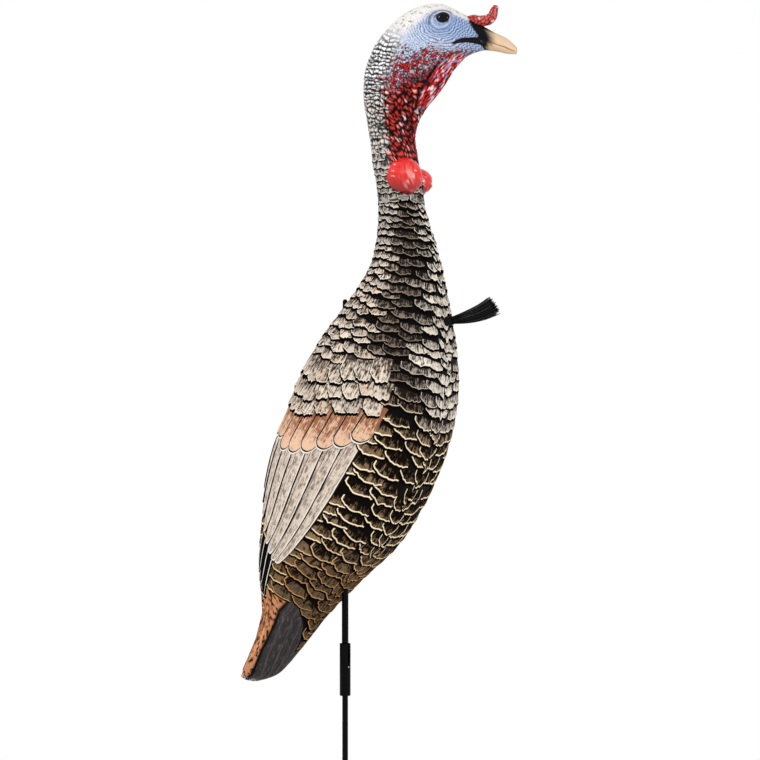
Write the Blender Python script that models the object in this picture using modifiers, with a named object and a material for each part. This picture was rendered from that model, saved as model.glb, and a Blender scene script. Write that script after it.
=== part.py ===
"""Upright jake turkey decoy on a two-piece field stake.

Metres, +Z up.  The bird looks along +X and its left side is +Y.  The origin is on the stake's axis, at the
level of the ground: the underside of the foot step.  The decoy is a thin hollow moulding that hangs on a
steel pin at the top of the stake.  It turns on that pin and lifts off it.  The head and the beard plug in.
"""

import math
from collections import namedtuple

import bmesh
import bpy
from mathutils import Matrix, Vector

# ---------------------------------------------------------------- driving dimensions
WALL = 0.0032               # moulded skin of the body and the head
GAP = 0.0003                # air between two pieces that touch
EDGE = 0.0004               # chamfer on a rod's end
PRESS_FIT = 0.0002          # clearance round a rod that is pressed or screwed in
RUNNING_FIT = 0.0004        # clearance round a piece that turns or slides

# heights that lie clear of the skin where the stake passes through it, for cutting right through
ABOVE_BACK_Z = 0.68
BELOW_BELLY_Z = 0.25

# stake
LOWER_ROD_R = 0.0035
UPPER_ROD_R = 0.0040
PIN_R = 0.0030              # pivot pin at the top of the stake
PIN_TOP = 0.655
PIN_DEPTH = 0.018           # how far the pin goes down into the upper rod
SHOULDER_Z = 0.588          # top of the upper rod, where the decoy's weight comes down
FERRULE_Z = (0.179, 0.2425)
FERRULE_R = 0.0066
FERRULE_CHAMFER = 0.0009
FERRULE_STOP_Z = 0.2065     # ledge that the upper rod stands on
KEY_Z = 0.2135              # cross pin that keys the upper rod in the ferrule's slot
KEY_R = 0.00125
KEY_ANGLE = math.radians(-20)
KEY_ENDS = (-0.0036, 0.0062)
KEY_SLOT_REACH = (0.002, 0.012)     # inner and outer ends of the slot's cutter
ROD_BOTTOM_Z = -0.1115
POINT_TOP_Z = -0.088
POINT_TAPER_Z = -0.1200
POINT_BOTTOM_Z = -0.150
POINT_R = 0.0050
POINT_TIP_R = 0.0008
STEP_LENGTH = 0.072
STEP_WIDTH = 0.020
STEP_THICK = 0.004
STEP_BOSS_R = 0.0085
STEP_BOSS_Z = 0.021
STEP_CORNER_R = 0.006
SCREW_Z = 0.0135
SCREW_R = 0.0020
SCREW_HEAD_R = 0.0034
SCREW_HEAD_END = 0.0125     # distance of its outer face from the rod's axis

# what the stake passes through inside the body
TUBE_R = (0.0052, 0.0070)   # bore and outside of the guide tube
TUBE_Z = (0.3355, 0.5895)
WASHER_THICK = 0.0020
BUSH_R = 0.0110
BUSH_NECK_R = 0.0055
BUSH_BOTTOM_Z = 0.572
BUSH_NECK_OVERLAP = 0.02    # the neck starts this far above the bush's foot
GROMMET_R = 0.0130
GROMMET_NECK_R = 0.0084
GROMMET_TOP_Z = 0.350
GROMMET_BORE_R = 0.0048
GROMMET_RIM = 0.004         # thickness of the rim inside the belly, over the lip

# neck joint
NECK_X = 0.0725
SEAM_Z = 0.770
NECK_R = 0.0265
SOCKET_R = (0.0193, 0.0222)
SOCKET_BOTTOM_Z = 0.737
SOCKET_TOP_GAP = 0.0005     # the ring's top stays this far under the joint
SOCKET_LIP = (0.0005, 0.005)        # how far the lip stands out, and its height
PLUG_R = (0.0150, 0.0182)
PLUG_Z = (0.740, 0.795)
PLUG_FLANGE_TOP = 0.008     # above the joint
PLUG_NOSE = (0.001, 0.002)  # chamfer that leads the plug in
SEAL_Z = 0.752
SEAL_R = 0.0009
SEAL_GROOVE = (0.0014, 0.0013)      # depth and half height of the seal's groove

# beard
BEARD_ROOT = Vector((0.1305, 0.0, 0.6278))     # where its axis meets the skin
BEARD_RISE = math.radians(10)
BEARD_AXIS = Vector((math.cos(BEARD_RISE), 0.0, math.sin(BEARD_RISE)))
COLLAR_R = 0.0056
COLLAR_OUT = 0.0080         # how far the collar stands out of the breast
COLLAR_INNER = -0.0190      # the collar's inner end, on its own axis
COLLAR_CUP = (0.0048, -0.0108)      # radius and floor of the cup that holds the bristles
BEARD_SOCKET_R = 0.0085
BEARD_SOCKET_INNER = -0.022
BEARD_BORE_INNER = -0.0195
BEARD_FLANGE_R = 0.0120
BEARD_FLANGE_INNER = -0.014
BEARD_OUTER = 0.004         # the socket and its flange are made this long, then trimmed to the skin
BEARD_CUT = 0.03            # reach of a cutter each way from the skin
BEARD_POINTS = (
    (0.1210, 0, 0.6261), (0.1315, 0, 0.6280), (0.1400, 0, 0.6295), (0.1580, 0, 0.6334),
    (0.1760, 0, 0.6394), (0.1915, 0, 0.6470))
BEARD_RADII = (0.0043, 0.0043, 0.0043, 0.0078, 0.0098, 0.0110)

# head trim
EYE = Vector((0.132, 0.0165, 0.986))           # left eye; the right one is its mirror
EYE_R = 0.0092
SNOOD_POINTS = (
    (0.152, 0, 0.984), (0.165, 0, 0.9865), (0.178, 0, 0.9855), (0.188, 0, 0.989),
    (0.192, 0, 0.998), (0.1935, 0, 1.004))
SNOOD_RADII = (0.0050, 0.0060, 0.0064, 0.0060, 0.0045, 0.0025)
CARUNCLES = {                                  # centre and radii; the right one is the larger
    "caruncle_left": ((0.0855, 0.0163, 0.7950), (0.0200, 0.0150, 0.0168)),
    "caruncle_right": ((0.0826, -0.0163, 0.8010), (0.0225, 0.0159, 0.0232)),
}

TURN_STEPS = 20             # sides of a turned piece
SMALL_STEPS = 12            # sides of a small pin, screw or hole
NECK_STEPS = 24             # sides of the ring, the plug and the seal
BODY_SIDES = 28
INSIDE_SIDES = 24
HEAD_SIDES = 24
HEAD_INSIDE_SIDES = 20
BALL_SEGMENTS = 16
BALL_RINGS = 10
SWEEP_RESOLUTION = 2
SEAL_SIDES = 6
NOSE_STEPS = 5
TRIM_OUTSIDE = 0.001        # pieces that come out through the skin stop this far outside it
SHARP_ANGLE = math.radians(40)

# A section of the body: its highest and lowest points in the plane of symmetry, its half width, how far
# down it is widest, and how square its back half and its belly half are (2 is an ellipse).
Section = namedtuple("Section", "back belly half_width widest square_back square_belly")

BODY_SECTIONS = (
    Section((-0.1310, 0.2020), (-0.1150, 0.1955), 0.021, 0.50, 2.3, 2.2),
    Section((-0.1240, 0.2165), (-0.0900, 0.2050), 0.032, 0.46, 2.4, 2.2),
    Section((-0.1090, 0.2480), (-0.0645, 0.2315), 0.038, 0.44, 2.3, 2.2),
    Section((-0.0995, 0.2880), (-0.0415, 0.2590), 0.046, 0.45, 2.1, 2.3),
    Section((-0.1035, 0.3230), (-0.0220, 0.2830), 0.057, 0.46, 2.0, 2.5),
    Section((-0.1030, 0.3590), (0.0130, 0.3190), 0.071, 0.48, 2.0, 2.8),
    Section((-0.0985, 0.4010), (0.0530, 0.3570), 0.084, 0.50, 2.0, 3.0),
    Section((-0.0925, 0.4390), (0.0825, 0.4000), 0.093, 0.50, 2.0, 3.0),
    Section((-0.0825, 0.4790), (0.1075, 0.4515), 0.098, 0.50, 2.0, 3.0),
    Section((-0.0655, 0.5200), (0.1230, 0.4990), 0.098, 0.50, 2.0, 3.0),
    Section((-0.0460, 0.5670), (0.1310, 0.5465), 0.091, 0.50, 2.0, 3.0),
    Section((-0.0240, 0.6080), (0.1315, 0.5965), 0.078, 0.50, 2.0, 2.8),
    Section((0.0095, 0.6515), (0.1265, 0.6470), 0.060, 0.50, 2.0, 2.5),
    Section((0.0345, 0.6890), (0.1205, 0.6890), 0.046, 0.50, 2.0, 2.2),
    Section((0.0435, 0.7210), (0.1135, 0.7220), 0.035, 0.50, 2.0, 2.0),
    Section((0.0460, 0.7490), (0.1040, 0.7500), 0.029, 0.50, 2.0, 2.0),
    Section((0.0460, SEAM_Z), (0.0990, SEAM_Z), NECK_R, 0.50, 2.0, 2.0),
)
# The hollow stops short of the tail's tip, and runs out through the neck.
BODY_HOLLOW = BODY_SECTIONS[2:] + (
    Section((0.0460, SEAM_Z + 0.02), (0.0990, SEAM_Z + 0.02), NECK_R, 0.50, 2.0, 2.0),
)

HEAD_SEAM_Z = SEAM_Z + GAP
HEAD_SECTIONS = (
    Section((0.0460, HEAD_SEAM_Z), (0.0990, HEAD_SEAM_Z), NECK_R, 0.50, 2.0, 2.0),
    Section((0.0440, 0.7920), (0.0975, 0.7920), 0.0265, 0.50, 2.0, 2.0),
    Section((0.0390, 0.8160), (0.0940, 0.8150), 0.0268, 0.50, 2.0, 2.0),
    Section((0.0330, 0.8520), (0.0890, 0.8500), 0.0268, 0.50, 2.0, 2.0),
    Section((0.0262, 0.8880), (0.1010, 0.8770), 0.0262, 0.44, 2.0, 1.7),
    Section((0.0250, 0.9110), (0.1250, 0.9050), 0.0255, 0.38, 2.0, 1.5),
    Section((0.0285, 0.9350), (0.1405, 0.9275), 0.0250, 0.37, 2.0, 1.5),
    Section((0.0415, 0.9620), (0.1530, 0.9405), 0.0245, 0.40, 2.1, 1.6),
    Section((0.0640, 0.9855), (0.1600, 0.9450), 0.0240, 0.44, 2.2, 1.8),
    Section((0.0920, 1.0025), (0.1680, 0.9480), 0.0235, 0.44, 2.3, 1.9),
    Section((0.1220, 1.0065), (0.1740, 0.9495), 0.0212, 0.44, 2.3, 2.0),
    Section((0.1500, 0.9950), (0.1800, 0.9505), 0.0165, 0.46, 2.2, 2.0),
    Section((0.1720, 0.9820), (0.1860, 0.9500), 0.0115, 0.52, 2.1, 2.0),
    Section((0.1910, 0.9715), (0.1960, 0.9485), 0.0088, 0.58, 2.0, 2.0),
    Section((0.2070, 0.9640), (0.2075, 0.9460), 0.0060, 0.60, 2.0, 2.0),
    Section((0.2200, 0.9530), (0.2190, 0.9450), 0.0028, 0.60, 2.0, 2.0),
)
HEAD_HOLLOW = (
    Section((0.0460, SEAM_Z - 0.02), (0.0990, SEAM_Z - 0.02), NECK_R, 0.50, 2.0, 2.0),
) + HEAD_SECTIONS[:10]


# ---------------------------------------------------------------- scene, materials and collections
def clear_scene():
    for obj in list(bpy.data.objects):
        bpy.data.objects.remove(obj, do_unlink=True)


def collection(name):
    made = bpy.data.collections.new(name)
    bpy.context.scene.collection.children.link(made)
    return made


def material(name, colour, roughness, metallic=0.0):
    made = bpy.data.materials.new(name)
    made.use_nodes = True
    shader = made.node_tree.nodes["Principled BSDF"]
    shader.inputs["Base Color"].default_value = (*colour, 1.0)
    shader.inputs["Roughness"].default_value = roughness
    shader.inputs["Metallic"].default_value = metallic
    return made


clear_scene()
PARTS = collection("turkey_decoy")
CUTTERS = collection("cutters")

FEATHER = material("painted_feather_skin", (0.20, 0.15, 0.10), 0.65)
HEAD_SKIN = material("painted_head_skin", (0.55, 0.62, 0.78), 0.55)
RED_SKIN = material("gloss_red_skin", (0.75, 0.05, 0.03), 0.25)
EYE_GLASS = material("gloss_eye", (0.02, 0.012, 0.008), 0.08)
BRISTLE = material("black_bristle", (0.012, 0.011, 0.011), 0.5)
BLACK_PLASTIC = material("black_plastic", (0.02, 0.02, 0.02), 0.45)
BLACK_RUBBER = material("black_rubber", (0.025, 0.025, 0.025), 0.8)
BLACK_ROD = material("black_rod", (0.018, 0.018, 0.02), 0.35)
STEEL = material("dark_steel", (0.32, 0.32, 0.33), 0.35, 1.0)


def place(obj, mat, home=None):
    """Links an object to its collection and gives it its material.  A cutter gets no material."""
    (home or PARTS).objects.link(obj)
    if mat is None:
        obj.hide_render = True
        obj.display_type = "WIRE"
    else:
        obj.data.materials.append(mat)
    return obj


def carry(axis_name, at, *names):
    """An empty on a joint's axis, which carries the named pieces.  They stay where they are."""
    empty = bpy.data.objects.new(axis_name, None)
    empty.empty_display_size = 0.02
    empty.location = at
    PARTS.objects.link(empty)
    for name in names:
        piece = PARTS.objects[name]
        piece.parent = empty
        piece.matrix_parent_inverse = Matrix.Translation(at).inverted()


def boolean(obj, other, operation="DIFFERENCE"):
    modifier = obj.modifiers.new(operation.lower(), "BOOLEAN")
    modifier.operation = operation
    modifier.object = other
    modifier.solver = "EXACT"


# ---------------------------------------------------------------- lofts
def blend(a, b, c, d, t):
    """Catmull-Rom between b and c."""
    return 0.5 * (2 * b + (c - a) * t + (2 * a - 5 * b + 4 * c - d) * t * t + (3 * b - 3 * c + d - a) * t ** 3)


def flat(section):
    return (*section.back, *section.belly, *section[2:])


def between(sections, position):
    """The section at a position along the list, whole numbers being the sections themselves."""
    last = len(sections) - 1
    i = min(int(position), last - 1)
    near = [flat(sections[min(max(i + k, 0), last)]) for k in (-1, 0, 1, 2)]
    v = [blend(*values, position - i) for values in zip(*near)]
    return Section((v[0], v[1]), (v[2], v[3]), *v[4:])


def power(value, square):
    return math.copysign(abs(value) ** (2.0 / square), value)


def ring(section, sides, grow):
    """Points round one section, starting at the back.  grow moves them out, or in where it is negative."""
    back, belly = Vector(section.back), Vector(section.belly)
    down = (belly - back).normalized()
    back, belly = back - down * grow, belly + down * grow
    half_width = section.half_width + grow
    points = []
    for i in range(sides):
        turn = 2 * math.pi * i / sides
        c, s = math.cos(turn), math.sin(turn)
        square = section.square_back if c > 0 else section.square_belly
        reach = section.widest if c > 0 else 1 - section.widest
        along = section.widest - reach * power(c, square)
        x, z = back.lerp(belly, along)
        points.append(Vector((x, half_width * power(s, square), z)))
    return points


def loft(name, sections, mat, sides, rings_per_section=2, grow=0.0):
    """A closed skin through the sections, capped at both ends."""
    count = (len(sections) - 1) * rings_per_section + 1
    mesh = bpy.data.meshes.new(name)
    bm = bmesh.new()
    rings = []
    for i in range(count):
        points = ring(between(sections, i / rings_per_section), sides, grow)
        rings.append([bm.verts.new(p) for p in points])
    for low, high in zip(rings, rings[1:]):
        for i in range(sides):
            j = (i + 1) % sides
            bm.faces.new((low[i], low[j], high[j], high[i]))
    bm.faces.new(rings[0])
    bm.faces.new(rings[-1])
    bmesh.ops.recalc_face_normals(bm, faces=bm.faces)
    bmesh.ops.triangulate(bm, faces=[f for f in bm.faces if len(f.verts) > 4])
    bm.to_mesh(mesh)
    bm.free()
    mesh.shade_smooth()
    mesh.set_sharp_from_angle(angle=SHARP_ANGLE)
    obj = bpy.data.objects.new(name, mesh)
    return place(obj, mat, None if mat else CUTTERS)


# ---------------------------------------------------------------- turned pieces, tubes and pins
def turned(name, profile, mat, steps=TURN_STEPS, closed=False):
    """A profile of (radius, height) points turned about Z.  A closed profile makes a tube."""
    mesh = bpy.data.meshes.new(name)
    edges = [(i, i + 1) for i in range(len(profile) - 1)]
    if closed:
        edges.append((len(profile) - 1, 0))
    mesh.from_pydata([(r, 0.0, z) for r, z in profile], edges, [])
    obj = bpy.data.objects.new(name, mesh)
    screw = obj.modifiers.new("turn", "SCREW")
    screw.steps = screw.render_steps = steps
    screw.use_merge_vertices = True
    screw.merge_threshold = 1e-5
    screw.use_smooth_shade = False
    return place(obj, mat, None if mat else CUTTERS)


def rod(name, radius, z_low, z_high, mat, chamfer=0.0, steps=TURN_STEPS):
    c = chamfer
    top = [(radius - c, z_high), (radius, z_high - c)] if c else [(radius, z_high)]
    bottom = [(radius, z_low + c), (radius - c, z_low)] if c else [(radius, z_low)]
    return turned(name, [(0, z_high), *top, *bottom, (0, z_low)], mat, steps)


def tube(name, bore, radius, z_low, z_high, mat):
    turned(name, [(bore, z_high), (radius, z_high), (radius, z_low), (bore, z_low)], mat, closed=True)


def put(obj, at=(0, 0, 0), axis=(0, 0, 1)):
    """Moves a piece that was turned about Z so that its axis points another way."""
    turn = Vector((0, 0, 1)).rotation_difference(Vector(axis)).to_matrix().to_4x4()
    obj.matrix_world = Matrix.Translation(at) @ turn
    return obj


def ellipsoid(name, centre, radii, mat):
    mesh = bpy.data.meshes.new(name)
    bm = bmesh.new()
    bmesh.ops.create_uvsphere(bm, u_segments=BALL_SEGMENTS, v_segments=BALL_RINGS, radius=1.0)
    bmesh.ops.scale(bm, vec=radii, verts=bm.verts)
    bmesh.ops.translate(bm, vec=centre, verts=bm.verts)
    bm.to_mesh(mesh)
    bm.free()
    mesh.shade_smooth()
    obj = bpy.data.objects.new(name, mesh)
    return place(obj, mat, None if mat else CUTTERS)


def box(name, low, high, mat, vertical_radius=0.0):
    mesh = bpy.data.meshes.new(name)
    bm = bmesh.new()
    bmesh.ops.create_cube(bm, size=1.0)
    size = Vector(high) - Vector(low)
    bmesh.ops.scale(bm, vec=size, verts=bm.verts)
    bmesh.ops.translate(bm, vec=Vector(low) + size / 2, verts=bm.verts)
    if vertical_radius:
        upright = [e for e in bm.edges if abs((e.verts[0].co - e.verts[1].co).normalized().z) > 0.9]
        bmesh.ops.bevel(bm, geom=upright, offset=vertical_radius, segments=5, profile=0.5, affect="EDGES")
    bm.to_mesh(mesh)
    bm.free()
    obj = bpy.data.objects.new(name, mesh)
    return place(obj, mat, None if mat else CUTTERS)


def swept(name, points, radii, mat):
    """A tapered rod along a smooth curve, made a closed mesh so that it can be cut."""
    curve = bpy.data.curves.new(name, "CURVE")
    curve.dimensions = "3D"
    curve.bevel_depth = 1.0
    curve.bevel_resolution = SWEEP_RESOLUTION
    curve.resolution_u = 3
    curve.use_fill_caps = True
    spline = curve.splines.new("NURBS")
    spline.points.add(len(points) - 1)
    for point, co, radius in zip(spline.points, points, radii):
        point.co = (*co, 1.0)
        point.radius = radius
    spline.use_endpoint_u = True
    spline.order_u = 4
    guide = bpy.data.objects.new(name + "_curve", curve)
    PARTS.objects.link(guide)
    bpy.context.view_layer.update()
    graph = bpy.context.evaluated_depsgraph_get()
    mesh = bpy.data.meshes.new_from_object(guide.evaluated_get(graph), depsgraph=graph)
    bpy.data.objects.remove(guide, do_unlink=True)
    bm = bmesh.new()
    bm.from_mesh(mesh)
    bmesh.ops.remove_doubles(bm, verts=bm.verts, dist=1e-6)
    bmesh.ops.recalc_face_normals(bm, faces=bm.faces)
    bm.to_mesh(mesh)
    bm.free()
    mesh.name = name
    mesh.materials.clear()
    return place(bpy.data.objects.new(name, mesh), mat)


# ---------------------------------------------------------------- references that trim the small pieces
BODY_INSIDE = loft("body_inside", BODY_HOLLOW, None, INSIDE_SIDES, 1, grow=-(WALL + GAP))
BODY_OUTSIDE = loft("body_outside", BODY_SECTIONS, None, BODY_SIDES, 1, grow=TRIM_OUTSIDE)
HEAD_OUTSIDE = loft("head_outside", HEAD_SECTIONS, None, HEAD_SIDES, grow=GAP)


def make_body():
    shell = loft("body_shell", BODY_SECTIONS, FEATHER, BODY_SIDES)
    boolean(shell, loft("body_hollow", BODY_HOLLOW, None, INSIDE_SIDES, 1, grow=-WALL))
    boolean(shell, rod("pin_hole", BUSH_NECK_R + GAP, BUSH_BOTTOM_Z, ABOVE_BACK_Z, None))
    boolean(shell, rod("stake_hole", GROMMET_NECK_R + GAP, BELOW_BELLY_Z, GROMMET_TOP_Z, None))
    beard_hole = rod("beard_hole", BEARD_SOCKET_R + GAP, -BEARD_CUT, BEARD_CUT, None)
    boolean(shell, put(beard_hole, BEARD_ROOT, BEARD_AXIS))


def make_stake_guide():
    """The pieces inside the body that the stake slides into: grommet, tube and pivot bush."""
    tube("guide_tube", *TUBE_R, *TUBE_Z, BLACK_PLASTIC)

    # A skirt takes the tube's top, and the flat face over it stands on the washer.
    seat_z = SHOULDER_Z + WASHER_THICK + 2 * GAP
    bush = rod("pivot_bush", BUSH_R, BUSH_BOTTOM_Z, ABOVE_BACK_Z, BLACK_PLASTIC, EDGE)
    boolean(bush, BODY_INSIDE, "INTERSECT")
    neck = rod("bush_neck", BUSH_NECK_R, BUSH_BOTTOM_Z + BUSH_NECK_OVERLAP, ABOVE_BACK_Z, None)
    boolean(neck, BODY_OUTSIDE, "INTERSECT")
    boolean(bush, neck, "UNION")
    below_bush_z = BUSH_BOTTOM_Z - BUSH_R
    boolean(bush, rod("bush_bore", PIN_R + RUNNING_FIT, below_bush_z, ABOVE_BACK_Z + BUSH_R, None))
    boolean(bush, rod("bush_skirt", TUBE_R[1] + GAP, below_bush_z, seat_z, None))

    grommet = rod("belly_grommet", GROMMET_R, BELOW_BELLY_Z, GROMMET_TOP_Z, BLACK_RUBBER, EDGE)
    boolean(grommet, BODY_INSIDE, "INTERSECT")
    lip = rod("grommet_lip", GROMMET_NECK_R, BELOW_BELLY_Z, GROMMET_TOP_Z - GROMMET_RIM, None)
    boolean(lip, BODY_OUTSIDE, "INTERSECT")
    boolean(grommet, lip, "UNION")
    above_grommet_z = GROMMET_TOP_Z + GROMMET_R
    bore_bottom_z = BELOW_BELLY_Z - GROMMET_R
    boolean(grommet, rod("grommet_bore", GROMMET_BORE_R, bore_bottom_z, above_grommet_z, None))
    boolean(grommet, rod("grommet_seat", TUBE_R[1] + GAP, TUBE_Z[0] - GAP, above_grommet_z, None))

    tube("thrust_washer", PIN_R + GAP, UPPER_ROD_R + RUNNING_FIT,
         SHOULDER_Z + GAP, SHOULDER_Z + GAP + WASHER_THICK, STEEL)


def make_neck_joint():
    """The ring in the body's neck, the plug on the head and the seal between them."""
    bore, radius = SOCKET_R
    lip_out, lip_height = SOCKET_LIP
    lip_r = radius + lip_out
    top = SEAM_Z - SOCKET_TOP_GAP
    lip_z = top - lip_height
    socket = turned("neck_socket", [
        (bore, top), (lip_r, top), (lip_r, lip_z), (radius, lip_z - 2 * lip_out),
        (radius, SOCKET_BOTTOM_Z), (bore, SOCKET_BOTTOM_Z)], BLACK_PLASTIC, NECK_STEPS, closed=True)
    put(socket, (NECK_X, 0, 0))

    flange_r = SOCKET_R[1] + PRESS_FIT
    bore, radius = PLUG_R
    low, high = PLUG_Z
    groove_depth, groove = SEAL_GROOVE
    groove_r = radius - groove_depth
    nose_in, nose_up = PLUG_NOSE
    flange_z = (SEAM_Z + 2 * GAP, SEAM_Z + PLUG_FLANGE_TOP)
    plug = turned("neck_plug", [
        (bore, high), (radius, high), (radius, flange_z[1]), (flange_r, flange_z[1]),
        (flange_r, flange_z[0]), (radius, flange_z[0]), (radius, SEAL_Z + groove),
        (groove_r, SEAL_Z + groove), (groove_r, SEAL_Z - groove), (radius, SEAL_Z - groove),
        (radius, low + nose_up), (radius - nose_in, low), (bore, low)],
        BLACK_PLASTIC, NECK_STEPS, closed=True)
    put(plug, (NECK_X, 0, 0))

    middle_r = groove_r + GAP + SEAL_R
    seal = turned("plug_seal", [
        (middle_r + SEAL_R * math.cos(a), SEAL_Z - SEAL_R * math.sin(a))
        for a in (2 * math.pi * i / SEAL_SIDES for i in range(SEAL_SIDES))],
        BLACK_RUBBER, NECK_STEPS, closed=True)
    put(seal, (NECK_X, 0, 0))


def make_head():
    shell = loft("head_shell", HEAD_SECTIONS, HEAD_SKIN, HEAD_SIDES)
    boolean(shell, loft("head_hollow", HEAD_HOLLOW, None, HEAD_INSIDE_SIDES, 1, grow=-WALL))
    for side, name in ((1, "left"), (-1, "right")):
        centre = Vector((EYE.x, side * EYE.y, EYE.z))
        ellipsoid("eye_" + name, centre, (EYE_R,) * 3, EYE_GLASS)
        boolean(shell, ellipsoid("eye_seat_" + name, centre, (EYE_R + 2 * GAP,) * 3, None))
    for name, (middle, radii) in CARUNCLES.items():
        boolean(ellipsoid(name, middle, radii, RED_SKIN), HEAD_OUTSIDE)
    boolean(swept("snood", SNOOD_POINTS, SNOOD_RADII, RED_SKIN), HEAD_OUTSIDE)


def make_beard():
    """The socket in the breast, the collar that plugs into it, and the bristles the collar holds."""
    socket = rod("beard_socket", BEARD_SOCKET_R, BEARD_SOCKET_INNER, BEARD_OUTER, BLACK_PLASTIC, EDGE)
    put(socket, BEARD_ROOT, BEARD_AXIS)
    boolean(socket, BODY_OUTSIDE, "INTERSECT")
    flange = rod("beard_flange", BEARD_FLANGE_R, BEARD_FLANGE_INNER, BEARD_OUTER, None)
    put(flange, BEARD_ROOT, BEARD_AXIS)
    boolean(flange, BODY_INSIDE, "INTERSECT")
    boolean(socket, flange, "UNION")
    bore = rod("beard_bore", COLLAR_R + RUNNING_FIT, BEARD_BORE_INNER, BEARD_CUT, None)
    boolean(socket, put(bore, BEARD_ROOT, BEARD_AXIS))

    cup_r, cup_floor = COLLAR_CUP
    chamfer = 2 * EDGE
    collar = turned("beard_collar", [
        (0, cup_floor), (cup_r, cup_floor), (cup_r, COLLAR_OUT), (COLLAR_R, COLLAR_OUT),
        (COLLAR_R, COLLAR_INNER + chamfer), (COLLAR_R - chamfer, COLLAR_INNER), (0, COLLAR_INNER)],
        BLACK_RUBBER)
    put(collar, BEARD_ROOT, BEARD_AXIS)
    swept("beard", BEARD_POINTS, BEARD_RADII, BRISTLE)


def make_stake():
    """Pointed lower rod with its foot step and ferrule, and the upper rod that stands in the ferrule."""
    rod("lower_rod", LOWER_ROD_R, ROD_BOTTOM_Z, FERRULE_STOP_Z - GAP, BLACK_ROD, EDGE)
    bore = LOWER_ROD_R + PRESS_FIT
    turned("ground_point", [
        (0, ROD_BOTTOM_Z - GAP), (bore, ROD_BOTTOM_Z - GAP), (bore, POINT_TOP_Z),
        (POINT_R - EDGE, POINT_TOP_Z), (POINT_R, POINT_TOP_Z - EDGE), (POINT_R, POINT_TAPER_Z),
        (POINT_TIP_R, POINT_BOTTOM_Z + EDGE), (0, POINT_BOTTOM_Z)], STEEL)

    bottom, top = FERRULE_Z
    chamfer = FERRULE_CHAMFER
    upper_bore = UPPER_ROD_R + GAP
    ferrule = turned("ferrule", [
        (upper_bore, top), (FERRULE_R - chamfer, top), (FERRULE_R, top - chamfer),
        (FERRULE_R, bottom + chamfer), (FERRULE_R - chamfer, bottom), (bore, bottom),
        (bore, FERRULE_STOP_Z), (upper_bore, FERRULE_STOP_Z)], BLACK_PLASTIC, closed=True)
    slot_half = KEY_R + RUNNING_FIT
    slot_in, slot_out = KEY_SLOT_REACH
    slot = box("key_slot", (slot_in, -slot_half, KEY_Z - slot_half),
               (slot_out, slot_half, top + FERRULE_R), None)
    slot.rotation_euler.z = KEY_ANGLE
    boolean(ferrule, slot)

    upper = rod("upper_rod", UPPER_ROD_R, FERRULE_STOP_Z + GAP, SHOULDER_Z, BLACK_ROD, EDGE)
    pin_bottom = SHOULDER_Z - PIN_DEPTH
    boolean(upper, rod("pin_bore", PIN_R + PRESS_FIT, pin_bottom - GAP, SHOULDER_Z + PIN_R, None))
    key_axis = Vector((math.cos(KEY_ANGLE), math.sin(KEY_ANGLE), 0))
    key_hole = rod("key_hole", KEY_R + PRESS_FIT, -FERRULE_R, FERRULE_R, None, steps=SMALL_STEPS)
    boolean(upper, put(key_hole, (0, 0, KEY_Z), key_axis))
    key = rod("cross_pin", KEY_R, *KEY_ENDS, STEEL, EDGE / 2, SMALL_STEPS)
    put(key, (0, 0, KEY_Z), key_axis)

    nose = [(PIN_R * math.sin(a), PIN_TOP - PIN_R + PIN_R * math.cos(a))
            for a in (math.pi / 2 * i / NOSE_STEPS for i in range(NOSE_STEPS + 1))]
    foot = [(PIN_R, pin_bottom + EDGE), (PIN_R - EDGE, pin_bottom), (0, pin_bottom)]
    turned("pivot_pin", nose + foot, BLACK_ROD)


def make_foot_step():
    """The step that is trodden on to push the stake in, and the screw that clamps it to the rod."""
    half = STEP_WIDTH / 2
    step = box("foot_step", (-half, -half, 0), (STEP_LENGTH - half, half, STEP_THICK), BLACK_ROD,
               STEP_CORNER_R)
    boolean(step, rod("step_boss", STEP_BOSS_R, STEP_THICK / 2, STEP_BOSS_Z, None), "UNION")
    boolean(step, rod("step_bore", LOWER_ROD_R + GAP, -STEP_BOSS_R, STEP_BOSS_Z + STEP_BOSS_R, None))
    hole = rod("screw_hole", SCREW_R + PRESS_FIT, SCREW_R, SCREW_HEAD_END, None, steps=SMALL_STEPS)
    boolean(step, put(hole, (0, 0, SCREW_Z), (-1, 0, 0)))
    head_low = STEP_BOSS_R + GAP
    end = LOWER_ROD_R + 2 * GAP
    screw = turned("step_screw", [
        (0, SCREW_HEAD_END), (SCREW_HEAD_R - EDGE, SCREW_HEAD_END), (SCREW_HEAD_R, SCREW_HEAD_END - EDGE),
        (SCREW_HEAD_R, head_low), (SCREW_R, head_low), (SCREW_R, end), (0, end)], STEEL, SMALL_STEPS)
    put(screw, (0, 0, SCREW_Z), (-1, 0, 0))


make_body()
make_stake_guide()
make_neck_joint()
make_head()
make_beard()
make_stake()
make_foot_step()
carry("head_axis", (NECK_X, 0, SEAM_Z),
      "head_shell", "neck_plug", "plug_seal", "snood", "eye_left", "eye_right", *CARUNCLES)
carry("beard_axis", BEARD_ROOT, "beard_collar", "beard")
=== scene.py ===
"""The turkey decoy's looks: painted feathers, skin, eyes, flesh, bristles and stake on the CAD frame.

Lengths are metres unless a name ends in _MM. On a loft, s counts its sections and q is the share of the half
girth, from 0 on the back line to 1 on the belly line. Colours are 0 to 255 display values."""

import math

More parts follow.
